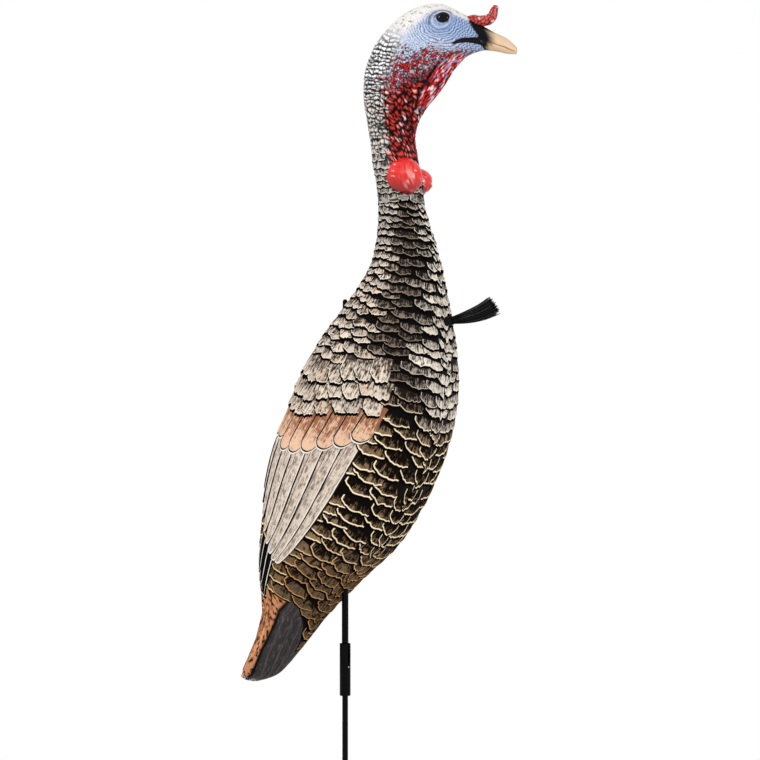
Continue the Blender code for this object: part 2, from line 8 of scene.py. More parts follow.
import bmesh
import bpy
import numpy as np
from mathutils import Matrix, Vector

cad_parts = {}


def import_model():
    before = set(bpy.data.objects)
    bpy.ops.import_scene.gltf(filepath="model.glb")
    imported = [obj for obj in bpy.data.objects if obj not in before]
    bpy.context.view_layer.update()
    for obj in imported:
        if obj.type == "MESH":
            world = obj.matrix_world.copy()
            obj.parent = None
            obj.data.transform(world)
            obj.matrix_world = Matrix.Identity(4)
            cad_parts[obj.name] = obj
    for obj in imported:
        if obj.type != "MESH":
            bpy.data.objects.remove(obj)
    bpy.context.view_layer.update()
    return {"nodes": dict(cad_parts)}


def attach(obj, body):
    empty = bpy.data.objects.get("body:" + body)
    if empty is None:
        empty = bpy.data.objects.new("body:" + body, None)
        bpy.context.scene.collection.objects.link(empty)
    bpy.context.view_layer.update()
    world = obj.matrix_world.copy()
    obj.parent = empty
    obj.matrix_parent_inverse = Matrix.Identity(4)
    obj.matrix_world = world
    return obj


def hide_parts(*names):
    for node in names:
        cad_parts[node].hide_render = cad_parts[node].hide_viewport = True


MM = 0.001
RIGHT = 1
LEFT = -1
SIDES = {RIGHT: "right", LEFT: "left"}
PAINT_BRIGHTNESS = .80
WALL_MM = 3.2
SMALLEST_AREA = 1e-9

# Each section: its back point (x, z), its front point (x, z), half its width, the share of the way to the
# front where it is widest, and how square its back and its belly are, 2 being an ellipse.
BODY_SECTIONS = (
    ((-.1310, .2020), (-.1150, .1955), .021, .50, 2.3, 2.2),
    ((-.1240, .2165), (-.0900, .2050), .032, .46, 2.4, 2.2),
    ((-.1090, .2480), (-.0645, .2315), .038, .44, 2.3, 2.2),
    ((-.0995, .2880), (-.0415, .2590), .046, .45, 2.1, 2.3),
    ((-.1035, .3230), (-.0220, .2830), .057, .46, 2.0, 2.5),
    ((-.1030, .3590), (.0130, .3190), .071, .48, 2.0, 2.8),
    ((-.0985, .4010), (.0530, .3570), .084, .50, 2.0, 3.0),
    ((-.0925, .4390), (.0825, .4000), .093, .50, 2.0, 3.0),
    ((-.0825, .4790), (.1075, .4515), .098, .50, 2.0, 3.0),
    ((-.0655, .5200), (.1230, .4990), .098, .50, 2.0, 3.0),
    ((-.0460, .5670), (.1310, .5465), .091, .50, 2.0, 3.0),
    ((-.0240, .6080), (.1315, .5965), .078, .50, 2.0, 2.8),
    ((.0095, .6515), (.1265, .6470), .060, .50, 2.0, 2.5),
    ((.0345, .6890), (.1205, .6890), .046, .50, 2.0, 2.2),
    ((.0435, .7210), (.1135, .7220), .035, .50, 2.0, 2.0),
    ((.0460, .7490), (.1040, .7500), .029, .50, 2.0, 2.0),
    ((.0460, .7700), (.0990, .7700), .0265, .50, 2.0, 2.0),
)
HEAD_SECTIONS = (
    ((.0460, .7703), (.0990, .7703), .0265, .50, 2.0, 2.0),
    ((.0440, .7920), (.0975, .7920), .0265, .50, 2.0, 2.0),
    ((.0390, .8160), (.0940, .8150), .0268, .50, 2.0, 2.0),
    ((.0330, .8520), (.0890, .8500), .0268, .50, 2.0, 2.0),
    ((.0262, .8880), (.1010, .8770), .0262, .44, 2.0, 1.7),
    ((.0250, .9110), (.1250, .9050), .0255, .38, 2.0, 1.5),
    ((.0285, .9350), (.1405, .9275), .0250, .37, 2.0, 1.5),
    ((.0415, .9620), (.1530, .9405), .0245, .40, 2.1, 1.6),
    ((.0640, .9855), (.1600, .9450), .0240, .44, 2.2, 1.8),
    ((.0920, 1.0025), (.1680, .9480), .0235, .44, 2.3, 1.9),
    ((.1220, 1.0065), (.1740, .9495), .0212, .44, 2.3, 2.0),
    ((.1500, .9950), (.1800, .9505), .0165, .46, 2.2, 2.0),
    ((.1720, .9820), (.1860, .9500), .0115, .52, 2.1, 2.0),
    ((.1910, .9715), (.1960, .9485), .0088, .58, 2.0, 2.0),
    ((.2070, .9640), (.2075, .9460), .0060, .60, 2.0, 2.0),
    ((.2200, .9530), (.2190, .9450), .0028, .60, 2.0, 2.0),
)
BODY_END = len(BODY_SECTIONS) - 1
HEAD_END = len(HEAD_SECTIONS) - 1


# ---- numbers and colours

def tone(red, green, blue):
    """The linear colour of a paint given as display values."""
    value = np.array([red, green, blue]) / 255
    return PAINT_BRIGHTNESS * np.where(value <= .04045, value / 12.92, ((value + .055) / 1.055) ** 2.4)


def smooth(low, high, value):
    """0 below low, 1 above high, and a smooth rise between them."""
    t = np.clip((value - low) / (high - low), 0, 1)
    return t * t * (3 - 2 * t)


def fall(low, high, value):
    """1 below low, 0 above high, and a smooth fall between them."""
    return 1 - smooth(low, high, value)


def bell(value, centre, width):
    """1 at the centre, and less and less on both sides of it."""
    return np.exp(-((value - centre) / width) ** 2)


def mix(a, b, share):
    """Colour a turned towards colour b by the share given at each point."""
    share = np.asarray(share)[..., None]
    return a * (1 - share) + b * share


def coats(paint, *layers):
    """Paint with more coats over it, each a colour and the share of each point that it covers."""
    for colour, share in layers:
        paint = mix(paint, tone(*colour), share)
    return paint


def along(line, value):
    """The second number of a line of pairs, read at the first."""
    knots = sorted(line)
    return np.interp(value, [k[0] for k in knots], [k[1] for k in knots])


def hashed(cell_a, cell_b, seed):
    """A repeatable number from 0 to 1 for each cell."""
    wave = np.sin(cell_a * 127.1 + cell_b * 311.7 + seed * 74.7) * 43758.5453
    return wave - np.floor(wave)


def ripple(a, b, seed):
    """Smooth noise from -1 to 1 over two coordinates."""
    ia = np.floor(a)
    ib = np.floor(b)
    fa = smooth(0, 1, a - ia)
    fb = smooth(0, 1, b - ib)
    low = hashed(ia, ib, seed) * (1 - fa) + hashed(ia + 1, ib, seed) * fa
    high = hashed(ia, ib + 1, seed) * (1 - fa) + hashed(ia + 1, ib + 1, seed) * fa
    return 2 * (low * (1 - fb) + high * fb) - 1


def cells(a, b, seed, stretch=1.0):
    """Cracked cells, one to each unit square: how far each point is from a crack, and a number for each cell.
    Distances along a count stretch times."""
    ia = np.floor(a)
    ib = np.floor(b)
    nearest = np.full(a.shape, 9.0)
    second = np.full(a.shape, 9.0)
    number = np.zeros(a.shape)
    for da in (-1, 0, 1):
        for db in (-2, -1, 0, 1, 2):
            ca = ia + da
            cb = ib + db
            pa = ca + .15 + .7 * hashed(ca, cb, seed)
            pb = cb + .15 + .7 * hashed(ca, cb, seed + 5)
            distance = np.hypot((a - pa) * stretch, b - pb)
            closer = distance < nearest
            second = np.where(closer, nearest, np.minimum(second, distance))
            number = np.where(closer, hashed(ca, cb, seed + 9), number)
            nearest = np.where(closer, distance, nearest)
    return second - nearest, number


def spline(values, steps):
    """Rows of numbers passed through by a Catmull-Rom curve, with steps rows to each gap."""
    rows = []
    last = len(values) - 1
    for i in range(last):
        p0 = values[max(i - 1, 0)]
        p1 = values[i]
        p2 = values[i + 1]
        p3 = values[min(i + 2, last)]
        for k in range(steps):
            t = k / steps
            rows.append(.5 * (2 * p1 + (p2 - p0) * t + (2 * p0 - 5 * p1 + 4 * p2 - p3) * t * t
                              + (3 * p1 - p0 - 3 * p2 + p3) * t ** 3))
    rows.append(values[last])
    return np.array(rows)


# ---- the lofted skins

class Loft:
    """The right half of a lofted skin as a table of points and normals."""

    STEPS = 16
    COLUMNS = 120

    def __init__(self, sections):
        rows = spline(np.array([[*back, *front, *rest] for back, front, *rest in sections]), self.STEPS)
        rings = [self.ring(*row) for row in rows]
        self.points = np.array([points for points, girth in rings])
        self.girths = np.array([girth for points, girth in rings])
        self.end = len(sections) - 1
        self.slope = np.gradient(self.points, 1 / self.STEPS, axis=0)
        self.gaps = np.linalg.norm(self.slope, axis=2)
        normal = np.cross(np.gradient(self.points, axis=1), self.slope)
        normal[:, [0, -1], 1] = 0
        normal /= np.linalg.norm(normal, axis=2, keepdims=True) + 1e-12
        outward = self.points - self.points.mean(axis=1, keepdims=True)
        self.normals = normal * np.sign((normal * outward).sum(2).mean())

    def ring(self, back_x, back_z, front_x, front_z, width, widest, square_back, square_belly):
        """One section's right half as evenly spaced points, and its half girth."""
        angle = np.linspace(0, math.pi, 6 * self.COLUMNS + 1)
        cosine = np.cos(angle)
        square = np.where(cosine > 0, square_back, square_belly)
        reach = np.where(cosine > 0, widest, 1 - widest)
        way = widest - reach * np.sign(cosine) * np.abs(cosine) ** (2 / square)
        side = -width * np.abs(np.sin(angle)) ** (2 / square)
        ring = np.stack([back_x + (front_x - back_x) * way, side, back_z + (front_z - back_z) * way], 1)
        length = np.concatenate([[0], np.cumsum(np.linalg.norm(np.diff(ring, axis=0), axis=1))])
        place = np.linspace(0, 1, self.COLUMNS + 1) * length[-1]
        return np.stack([np.interp(place, length, ring[:, k]) for k in range(3)], 1), length[-1]

    def read(self, table, s, q):
        """A table's value at any s and q, between its four nearest entries."""
        i = np.clip(s, 0, self.end) * self.STEPS
        j = np.clip(q, 0, 1) * self.COLUMNS
        i0 = np.minimum(i.astype(int), len(table) - 2)
        j0 = np.minimum(j.astype(int), self.COLUMNS - 1)
        fi = i - i0
        fj = j - j0
        if table.ndim == 3:
            fi = fi[..., None]
            fj = fj[..., None]
        low = table[i0, j0] * (1 - fj) + table[i0, j0 + 1] * fj
        high = table[i0 + 1, j0] * (1 - fj) + table[i0 + 1, j0 + 1] * fj
        return low * (1 - fi) + high * fi

    def girth(self, s):
        """Half the girth at s."""
        return np.interp(s, np.arange(len(self.girths)) / self.STEPS, self.girths)

    def gap(self, s, q):
        """The distance from one section to the next at a place."""
        return self.read(self.gaps, np.asarray(s, float), np.asarray(q, float))

    def at(self, s, q, height, side):
        """Points at a height over the skin. Past q 0 or 1 they go round onto the other half."""
        s, q, height = np.broadcast_arrays(np.asarray(s, float), q, height)
        over = (q < 0) | (q > 1)
        folded = np.where(q < 0, -q, np.where(q > 1, 2 - q, q))
        beyond = s - np.clip(s, 0, self.end)
        point = self.read(self.points, s, folded)
        point = point + self.read(self.slope, s, folded) * beyond[..., None]
        point = point + self.read(self.normals, s, folded) * height[..., None]
        point[..., 1] *= np.where(over, -side, side)
        return point

    def length_to(self, s, q):
        """Length along the skin at one q from section 0 to each s."""
        gaps = self.gaps[:, round(q * self.COLUMNS)]
        lengths = np.concatenate([[0], np.cumsum((gaps[1:] + gaps[:-1]) / 2)]) / self.STEPS
        return np.interp(s, np.arange(len(gaps)) / self.STEPS, lengths)


# ---- meshes

def with_area(points, faces):
    """The faces that are more than a line or a point."""
    quads = np.array([face for face in faces if len(face) == 4])
    caps = [face for face in faces if len(face) > 4]
    corner = points[quads]
    normal = np.cross(corner[:, 2] - corner[:, 0], corner[:, 3] - corner[:, 1])
    return quads[np.linalg.norm(normal, axis=1) > SMALLEST_AREA].tolist() + caps


def add_layer(mesh, name, kind, field, values):
    """A value for each point of a mesh, for its material to read."""
    layer = mesh.attributes.new(name, kind, "POINT")
    layer.data.foreach_set(field, np.asarray(values, np.float32).ravel())


def in_scene(name, data):
    """A new object in the scene."""
    obj = bpy.data.objects.new(name, data)
    bpy.context.scene.collection.objects.link(obj)
    return obj


def mesh_object(name, points, faces, finish, colours=None, numbers=None, vectors=None):
    """A smooth-shaded mesh with its painted attributes, without points that no face uses."""
    points = np.asarray(points).reshape(-1, 3)
    mesh = bpy.data.meshes.new(name)
    mesh.from_pydata(points.tolist(), [], with_area(points, faces))
    for key, value in (colours or {}).items():
        opaque = np.ones((len(mesh.vertices), 4), np.float32)
        opaque[:, :3] = np.asarray(value).reshape(-1, 3)
        add_layer(mesh, key, "FLOAT_COLOR", "color", opaque)
    for key, value in (numbers or {}).items():
        add_layer(mesh, key, "FLOAT", "value", value)
    for key, value in (vectors or {}).items():
        add_layer(mesh, key, "FLOAT_VECTOR", "vector", value)
    cleaned = bmesh.new()
    cleaned.from_mesh(mesh)
    bmesh.ops.delete(cleaned, geom=[v for v in cleaned.verts if not v.link_faces], context="VERTS")
    cleaned.to_mesh(mesh)
    cleaned.free()
    mesh.polygons.foreach_set("use_smooth", [True] * len(mesh.polygons))
    mesh.materials.append(finish)
    return in_scene(name, mesh)


def grid_faces(patches, rows, columns, closed=False, flip=False):
    """Quads of patches of rows by columns points, numbered in that order."""
    wide = columns if closed else columns - 1
    row, column = np.meshgrid(np.arange(rows - 1), np.arange(wide), indexing="ij")
    here = row * columns + column
    beside = row * columns + (column + 1) % columns
    quad = np.stack([here, beside, beside + columns, here + columns], -1).reshape(-1, 4)
    if flip:
        quad = quad[:, ::-1]
    start = np.arange(patches)[:, None, None] * rows * columns
    return (quad[None] + start).reshape(-1, 4).tolist()


def skin_grid(s, columns):
    """The s, q and side of each point of a sheet that goes round both halves of a loft."""
    s = s[:, None]
    turn = np.linspace(-1, 1, 2 * columns, endpoint=False)
    return s + 0 * turn, np.abs(turn) + 0 * s, np.where(turn < 0, LEFT, RIGHT) + 0 * s


def skin_mesh(name, loft, place, height_mm, finish, paint, capped_row):
    """A sheet round both halves of a loft, capped at its first or last row."""
    s, q, side = place
    rows, around = s.shape
    faces = grid_faces(1, rows, around, closed=True, flip=True)
    cap = [capped_row * around + k for k in range(around)]
    faces.append(cap if capped_row == 0 else cap[::-1])
    return mesh_object(name, loft.at(s, q, height_mm * MM, side), faces, finish, {"paint": paint})


# ---- materials

class Finish:
    """A procedural material under construction."""

    def __init__(self, name, roughness, specular=.5, metallic=0.0):
        self.material = bpy.data.materials.new(name)
        self.material.use_nodes = True
        self.tree = self.material.node_tree
        self.surface = self.tree.nodes["Principled BSDF"]
        looks = {"Roughness": roughness, "Specular IOR Level": specular, "Metallic": metallic}
        self.feed(self.surface, looks)

    def feed(self, node, values):
        """A node's inputs set to numbers or colours, or linked to other nodes' outputs."""
        for key, value in values.items():
            socket = node.inputs[key]
            if isinstance(value, np.ndarray):
                socket.default_value = (*value, 1)
            elif isinstance(value, (int, float, tuple)):
                socket.default_value = value
            else:
                self.tree.links.new(value, socket)

    def node(self, kind, inputs, output=0, **settings):
        """A new node's output."""
        made = self.tree.nodes.new(kind)
        for key, value in settings.items():
            setattr(made, key, value)
        self.feed(made, inputs)
        return made.outputs[output]

    def attribute(self, name, output="Fac"):
        return self.node("ShaderNodeAttribute", {}, output, attribute_name=name)

    def math(self, operation, first, second=0):
        return self.node("ShaderNodeMath", {0: first, 1: second}, operation=operation)

    def step(self, value, low, high, start=0.0, end=1.0):
        """start where the value is low, end where it is high, and a straight line between."""
        return self.node("ShaderNodeMapRange", {"Value": value, "From Min": low, "From Max": high,
                                                "To Min": start, "To Max": end})

    def blend(self, share, first, second, how="MIX"):
        """Two colours mixed. Sockets 0, 6 and 7 are the share and the colours, and output 2 is the result."""
        sockets = {0: share, 6: first, 7: second}
        return self.node("ShaderNodeMix", sockets, 2, data_type="RGBA", blend_type=how)

    def noise(self, scale, stretch=(1, 1, 1), source=None, detail=3.0, roughness=.55):
        if source is None:
            source = self.node("ShaderNodeNewGeometry", {}, "Position")
        scaled = self.node("ShaderNodeVectorMath", {0: source, 1: stretch}, operation="MULTIPLY")
        return self.node("ShaderNodeTexNoise", {"Vector": scaled, "Scale": scale, "Detail": detail,
                                                "Roughness": roughness})

    def done(self, colour, height, strength, bump_mm):
        """The finished material, with a bump from the height."""
        bump = self.node("ShaderNodeBump", {"Strength": strength, "Distance": bump_mm * MM, "Height": height})
        self.feed(self.surface, {"Normal": bump, "Base Color": colour})
        return self.material


# Where the dark shaft begins and ends to fade, the step from spot to spot along a feather, and each spot's
# centre and half size across and along.
SHAFT_MM = (.3, .7)
SPOT_STEP_MM = 21
SPOT_CENTRE_MM = (4.2, 10)
SPOT_HALF_MM = (2.2, 4.6)


def shaft_and_spots(finish, place):
    """A feather's dark shaft, and oval marks beside it."""
    x, y, number = [finish.node("ShaderNodeSeparateXYZ", {0: place}, k) for k in range(3)]
    shaft = finish.step(finish.math("ABSOLUTE", x), *SHAFT_MM, .7, 0)
    started = finish.math("ADD", y, finish.math("MULTIPLY", number, 7))
    beat = finish.math("MODULO", started, SPOT_STEP_MM)
    ovals = []
    for way, centre, half in zip((x, beat), SPOT_CENTRE_MM, SPOT_HALF_MM):
        off = finish.math("DIVIDE", finish.math("SUBTRACT", way, centre), half)
        ovals.append(finish.math("POWER", off, 2))
    spot = finish.step(finish.math("ADD", *ovals), .6, 1.1, .45, 0)
    return finish.math("MAXIMUM", shaft, spot)


def feather_finish():
    """Barbs, a painted rim and a lip, all from what each feather carries. The lip is mostly near black, an
    outline and painted shade under the hem.
    """
    finish = Finish("feather_paint", .6, .0)
    place = finish.attribute("place", "Vector")
    dark, light, rim, lip = [finish.attribute(name, "Color") for name in ("dark", "light", "rim", "lip")]
    barbs = finish.noise(1.0, (.62, .06, 1), place, 3, .65)
    fine = finish.noise(1.0, (1.9, .22, 1), place, 2, .6)
    patchy = finish.noise(1.0, (.22, .22, 1), place, 2, .5)
    streak = finish.math("ADD", finish.math("MULTIPLY", barbs, .6), finish.math("MULTIPLY", fine, .4))
    patches = finish.math("MULTIPLY", finish.math("SUBTRACT", patchy, .5), .3)
    shown = finish.math("ADD", finish.math("ADD", streak, patches), finish.attribute("show"))
    marks = finish.math("MULTIPLY", shaft_and_spots(finish, place), finish.attribute("marked"))
    uneven = finish.math("MULTIPLY", finish.math("SUBTRACT", barbs, .5), 1.1)
    edge = finish.math("ADD", finish.attribute("edge"), uneven)
    rim_at = finish.math("ADD", edge, finish.attribute("wide"))
    colour = finish.blend(finish.step(shown, .94, 1.06), dark, light)
    colour = finish.blend(marks, colour, lip)
    colour = finish.blend(finish.step(rim_at, -.2, .3), colour, rim)
    # The lip past the hem, near black on most feathers, is an outline and painted shade under the hem.
    colour = finish.blend(finish.step(edge, -.1, .3), colour, lip)
    return finish.done(colour, streak, .5, .9)


def painted_finish(name, roughness, specular, grain, bump_mm, speckle):
    """Vertex paint with a fine grain."""
    finish = Finish(name, roughness, specular)
    grains = finish.noise(grain, detail=4)
    shade = finish.step(grains, .3, .7, 1 - speckle, 1 + speckle)
    colour = finish.blend(1.0, finish.attribute("paint", "Color"), shade, "MULTIPLY")
    return finish.done(colour, grains, .5, bump_mm)


def plain_finish(name, colour, roughness, specular=.5, metallic=0.0, grain=900, bump_mm=.05):
    """One colour with slight mottling and grain."""
    finish = Finish(name, roughness, specular, metallic)
    grains = finish.noise(grain)
    mottled = finish.blend(grains, tone(*colour) * .8, tone(*colour) * 1.2)
    return finish.done(mottled, grains, .35, bump_mm)


# ---- feathers

# How far apart the barbs of two feathers are drawn from the same noise.
NOISE_SPREAD = 17.3
# A feather is a grid: columns from -1 at one side to 1 at the other, rows from root to hem, then the lip.
COLUMNS_OF_FEATHER = np.array([-1.0, -.94, -.84, -.7, -.54, -.38, -.2, -.04,
                               .12, .3, .46, .6, .74, .86, .94, 1.0])
ROWS_TO_HEM = np.array([0, .25, .5, .7, .85, .94, 1.0])[:, None]
LIP_ROWS = np.array([.5, 1.0, 1.12])[:, None]
LIP_DROP = np.array([0, 0, 0, 0, 0, 0, 0, .14, .36, 1])[:, None]
BURIED_ROWS = np.array([1, 0, 0, 0, 0, 0, 0, 0, 0, 1])[:, None]
BURIED_MM = -1.1


class Style:
    """How a tract's feathers are shaped. Lengths are millimetres."""

    height = 2.0        # how far the hem stands over the root
    lip = 2.5           # the dark lip past the hem
    lift = -.45         # added all over
    trim_back = .34     # share of the length that the hem lacks at column -1
    trim_front = .06    # and at column 1
    power = 1.35        # low for a pointed hem, high for a square one
    overlap = 1.9       # length, in steps from row to row
    wrap = 1.3         # width, in steps from feather to feather
    tilt = .3          # how far column -1 stands up and column 1 lies down
    arch = .15          # how far the middle stands over the sides
    taper = .0          # share of the width lost at the tip
    side_edge = .9     # where the painted rim runs along the sides
    sides = -1          # the side that is rimmed: -1, 1 or 0 for both
    ragged = .03        # unevenness of the hem, as a share of the length
    fan = .32           # how far barbs spread from the shaft
    buried = BURIED_MM  # height of the first and last row

    def __init__(self, **changes):
        for name, value in changes.items():
            setattr(self, name, value)


def each(values):
    """A value for each feather, to set against a feather's rows and columns."""
    return np.reshape(values, (-1, 1, 1))


def feather_hem(length, style, random):
    """The distance from root to hem at each column."""
    u = COLUMNS_OF_FEATHER
    hem = length * (1 - style.trim_back * np.maximum(0, -u) ** style.power
                    - style.trim_front * np.maximum(0, u) ** style.power)
    ragged = style.ragged * length * random.normal(size=(len(length), 1, len(u)))
    return hem + ragged * (np.abs(u) < .9)


def feather_rise(way, style, random, fade):
    """How far the feather stands over the skin, in millimetres. Its first and last rows are buried in it."""
    u = COLUMNS_OF_FEATHER
    rise = style.height * np.clip(way, 0, 1) ** 1.8
    rise = rise - style.height * LIP_DROP
    rise = rise + style.arch * (1 - u ** 2) * np.clip(way, 0, 1)
    wobble = .08 * random.normal(size=(len(way), 1, 1))
    rise = rise + (-style.tilt * u + wobble) * np.clip(2 * way, 0, 1)
    buried = each(style.buried)
    rise = rise - (buried < 0) * smooth(.93, 1.0, np.abs(u))
    rise = rise * (1 - BURIED_ROWS) + buried * BURIED_ROWS
    return np.where(rise > 0, rise * fade, rise) + each(style.lift)


def plumes(name, coat, root, tip, width_mm, paint, style, limits, random, bow=0.0):
    """One mesh of feathers from their roots to their tips, both (s, q) pairs on the loft.

    coat is the loft, side and finish. paint holds each feather's dark, light, rim and lip colours, its rim's
    width in millimetres, and how much light barb shows at its root and at its hem. It may also hold marked,
    the strength of dark marks, and fade, the share of the height that is left. limits gives the lowest and
    highest q at each s. x and y are millimetres across and along a feather, and way is y as a share of its
    length."""
    loft, side, finish = coat
    root = np.array(root)
    tip = np.array(tip)
    u = COLUMNS_OF_FEATHER
    middle = (root + tip) / 2
    gap = loft.gap(middle[:, 0], np.abs(middle[:, 1])) / MM
    run = (tip - root) * np.stack([gap, loft.girth(middle[:, 0]) / MM], 1)
    length = np.linalg.norm(run, axis=1)
    heading = run / length[:, None]
    length = each(length)
    hem = feather_hem(length, style, random)
    y = np.concatenate([hem * ROWS_TO_HEM, hem + style.lip * LIP_ROWS], 1)
    way = y / length
    half = each(width_mm) / 2
    narrow = 1 - style.taper * np.clip((way - .25) / .75, 0, 1.1) ** 2
    x = u * half * narrow
    x = x + each(bow) * length * way * (1 - way)

    s = each(root[:, 0]) + each((tip - root)[:, 0]) * way
    q = each(root[:, 1]) + each((tip - root)[:, 1]) * way
    on_loft = np.clip(s, 0, loft.end)
    s = s + x * each(heading[:, 1]) / (loft.gap(on_loft, np.clip(q, 0, 1)) / MM)
    s = np.minimum(s, loft.end)
    q = q + x * each(-heading[:, 0]) / (loft.girth(on_loft) / MM)
    low, high = limits(s)
    clipped = ((q <= low) | (q >= high)).ravel()
    rise = feather_rise(way, style, random, each(paint.get("fade", 1.0)))
    points = loft.at(s, np.clip(q, low, high), rise * MM, side)

    beside = np.abs(u) if style.sides == 0 else style.sides * u
    number = np.broadcast_to(each(NOISE_SPREAD * random.random(len(root))), y.shape)
    colours = {key: np.broadcast_to(paint[key][:, None, None, :], (*y.shape, 3))
               for key in ("dark", "light", "rim", "lip")}
    numbers = {
        "edge": np.maximum(y - hem, (beside - style.side_edge) * half * narrow),
        "show": each(paint["show"][:, 0]) * (1 - way) + each(paint["show"][:, 1]) * way,
        "wide": np.broadcast_to(each(paint["wide"]), y.shape),
        "marked": np.full(y.shape, paint.get("marked", 0.0)),
    }
    vectors = {"place": np.stack([x - style.fan * u * y, y, number], -1)}
    faces = grid_faces(*y.shape, flip=side == RIGHT)
    faces = [face for face in faces if not clipped[face].all()]
    return mesh_object(f"{name}_{SIDES[side]}", points, faces, finish, colours, numbers, vectors)


# ---- the body's tracts

# Lines over the body: each pair is an s and the q or length there. COPPER_HEM and COVERT_EDGE go from q to s.
SPACING_MM = ((0, 17), (3, 17), (5, 16), (8, 16.5), (10, 15), (11.5, 13.0), (13, 10.5), (15, 9.0), (16, 8.2))
WIDTH_MM = ((0, 24), (3, 28), (5, 31), (8, 35), (10, 32), (11.5, 25), (13, 19), (15, 13.5), (16, 11.5))
LIGHT_LINE = (
    (4.8, .38), (5.2, .4), (6.1, .43), (6.9, .47), (7.9, .52), (8.8, .57), (9.3, .58), (10.1, .57),
    (10.8, .55), (11.6, .53), (12.4, .5), (13.8, .47), (15.3, .52), (16, .56),
)
WING_FRONT = (
    (4.9, .42), (5.2, .45), (6.1, .48), (6.9, .52), (7.5, .55), (7.9, .555), (8.2, .57), (8.8, .6),
    (9.4, .6),
)
WING_BACK = ((4.9, .42), (5.3, .33), (5.6, .27), (6.4, .17), (7.2, .08), (7.6, .0), (9.4, .0))
BAND_BACK = ((.0, .5), (.7, .53), (1.8, .47), (3.3, .51), (4.1, .6))
BAND_FRONT = ((.0, 1.1), (1.7, 1.1), (2.0, .96), (2.5, .88), (3.0, .8), (3.5, .72), (3.8, .68), (4.1, .62))
COPPER_HEM = ((.0, 8.45), (.22, 8.35), (.27, 8.02), (.37, 8.0), (.47, 8.22), (.55, 8.38), (.62, 8.6))
COVERT_EDGE = ((0, 2.9), (.36, 3.0), (.44, 3.9), (1, 4.0))
PARTING = ((0, .97), (5, .9), (7, .9), (8, .95), (10.9, .975), (13, 1.0), (16, 1.0))
PARTING_GAP = .0016
BODY_SEED = {RIGHT: 11, LEFT: 23}
BODY_ROWS = 300
BODY_COLUMNS = 150


def front_edge(side, s):
    """The q of the mould's parting line on the breast, which lies on the right."""
    parting = along(PARTING, s)
    return parting if side == RIGHT else 2 - parting


# A feather's colours on the back, on a warmer patch there, on the nape, the breast, the breast's front, the
# flank, below the flank and on the rump.
FEATHER_COLOURS = {
    "light": ((222, 206, 188), (224, 186, 148), (182, 172, 162), (124, 108, 96),
              (240, 228, 212), (146, 120, 90), (104, 84, 62), (126, 98, 68)),
    "dark": ((58, 46, 37), (58, 46, 37), (56, 51, 47), (34, 28, 25),
             (34, 28, 25), (22, 16, 13), (22, 16, 13), (24, 18, 14)),
    "rim": ((255, 246, 232), (255, 246, 232), (226, 219, 212), (150, 136, 122),
            (255, 250, 238), (255, 236, 200), (206, 150, 96), (240, 208, 158)),
}


def zone_colour(key, zones, flank_share):
    """One of the feathers' colours, from how far each feather lies in each zone of the body."""
    back, warmer, nape, breast, front, flank, below, rump = [tone(*colour) for colour in FEATHER_COLOURS[key]]
    above = mix(mix(back, warmer, zones["warm"] * .35), nape, zones["nape"])
    under = mix(mix(breast, front, zones["front"]), mix(flank, below, zones["below"]), flank_share)
    return mix(mix(above, under, zones["darkness"]), rump, zones["rump"])


def body_paint(s, q, random):
    """The paint of feathers that end at these places on the body."""
    count = len(s)
    scale = 1 + .1 * random.normal(size=(count, 1))
    darkness = smooth(-.06, .06, q - along(LIGHT_LINE, s) + .02 * random.normal(size=count))
    # The paler breast front is partly its paint and partly painted light.
    front = .95 * smooth(.68, .92, q + .04 * random.normal(size=count)) * smooth(7.5, 9.5, s)
    flank = fall(8.8, 10.6, s + 2.0 * (q - .6))
    below = fall(4.8, 6.4, s)
    nape = smooth(12.6, 14.4, s)
    rump = fall(8.0, 9.2, s) * fall(.42, .52, q)
    turned = np.clip(flank - .75 * front * smooth(8.5, 9.5, s), 0, 1)
    warm = (random.random(count) < .22) * (1 - nape)
    zones = {"darkness": darkness, "front": front, "below": below, "nape": nape, "rump": rump, "warm": warm}
    dusk = np.maximum(darkness, rump)
    bright = 1 - dusk
    by_wing = bell(q - along(WING_FRONT, s), .05, .05) * (s < 8.9) * (s > 5)
    # Less light barb at the root than at the hem gives a darker root, painted shade under the feather above.
    shaded_root_show = .3 * bright + (.3 - .16 * flank + .26 * below) * dusk
    hem_show = (.56 + .04 * nape) * bright + (.49 + .06 * below + .12 * front) * dusk + .12 * by_wing
    return {
        "light": np.clip(zone_colour("light", zones, turned) * scale, 0, 1),
        "dark": np.clip(zone_colour("dark", zones, flank) * scale, 0, 1),
        "rim": zone_colour("rim", zones, flank),
        # The near-black lip past each hem is an outline and painted shade under the hem.
        "lip": np.broadcast_to(tone(13, 10, 9), (count, 3)),
        "wide": .45 + (.95 - .5 * below) * dusk * flank + .5 * rump + .35 * random.random(count),
        "show": np.stack([shaded_root_show, hem_show], 1),
        "fade": 1 - .7 * smooth(15.3, 15.9, s),
    }


def same_paint(count, dark, light, rim, lip, wide, shows, random, spread=.08):
    """Paint for feathers that all share one set of colours."""
    scale = 1 + spread * random.normal(size=(count, 1))
    return {
        "dark": np.clip(tone(*dark) * scale, 0, 1), "light": np.clip(tone(*light) * scale, 0, 1),
        "rim": np.broadcast_to(tone(*rim), (count, 3)), "lip": np.broadcast_to(tone(*lip), (count, 3)),
        "wide": np.full(count, wide), "show": np.tile(shows, (count, 1)),
    }


def in_wing(s, q):
    """Whether a place is well under the folded wing."""
    return (s > 5.1) & (s < 8.95) & (q < along(WING_FRONT, s)) & (q > along(WING_BACK, s) + .03)


def in_band(s, q):
    """Whether a place is on the tail feathers, which carry no small feathers."""
    return (s < along(COVERT_EDGE, q)) & (q < along(BAND_FRONT, s) + .01)


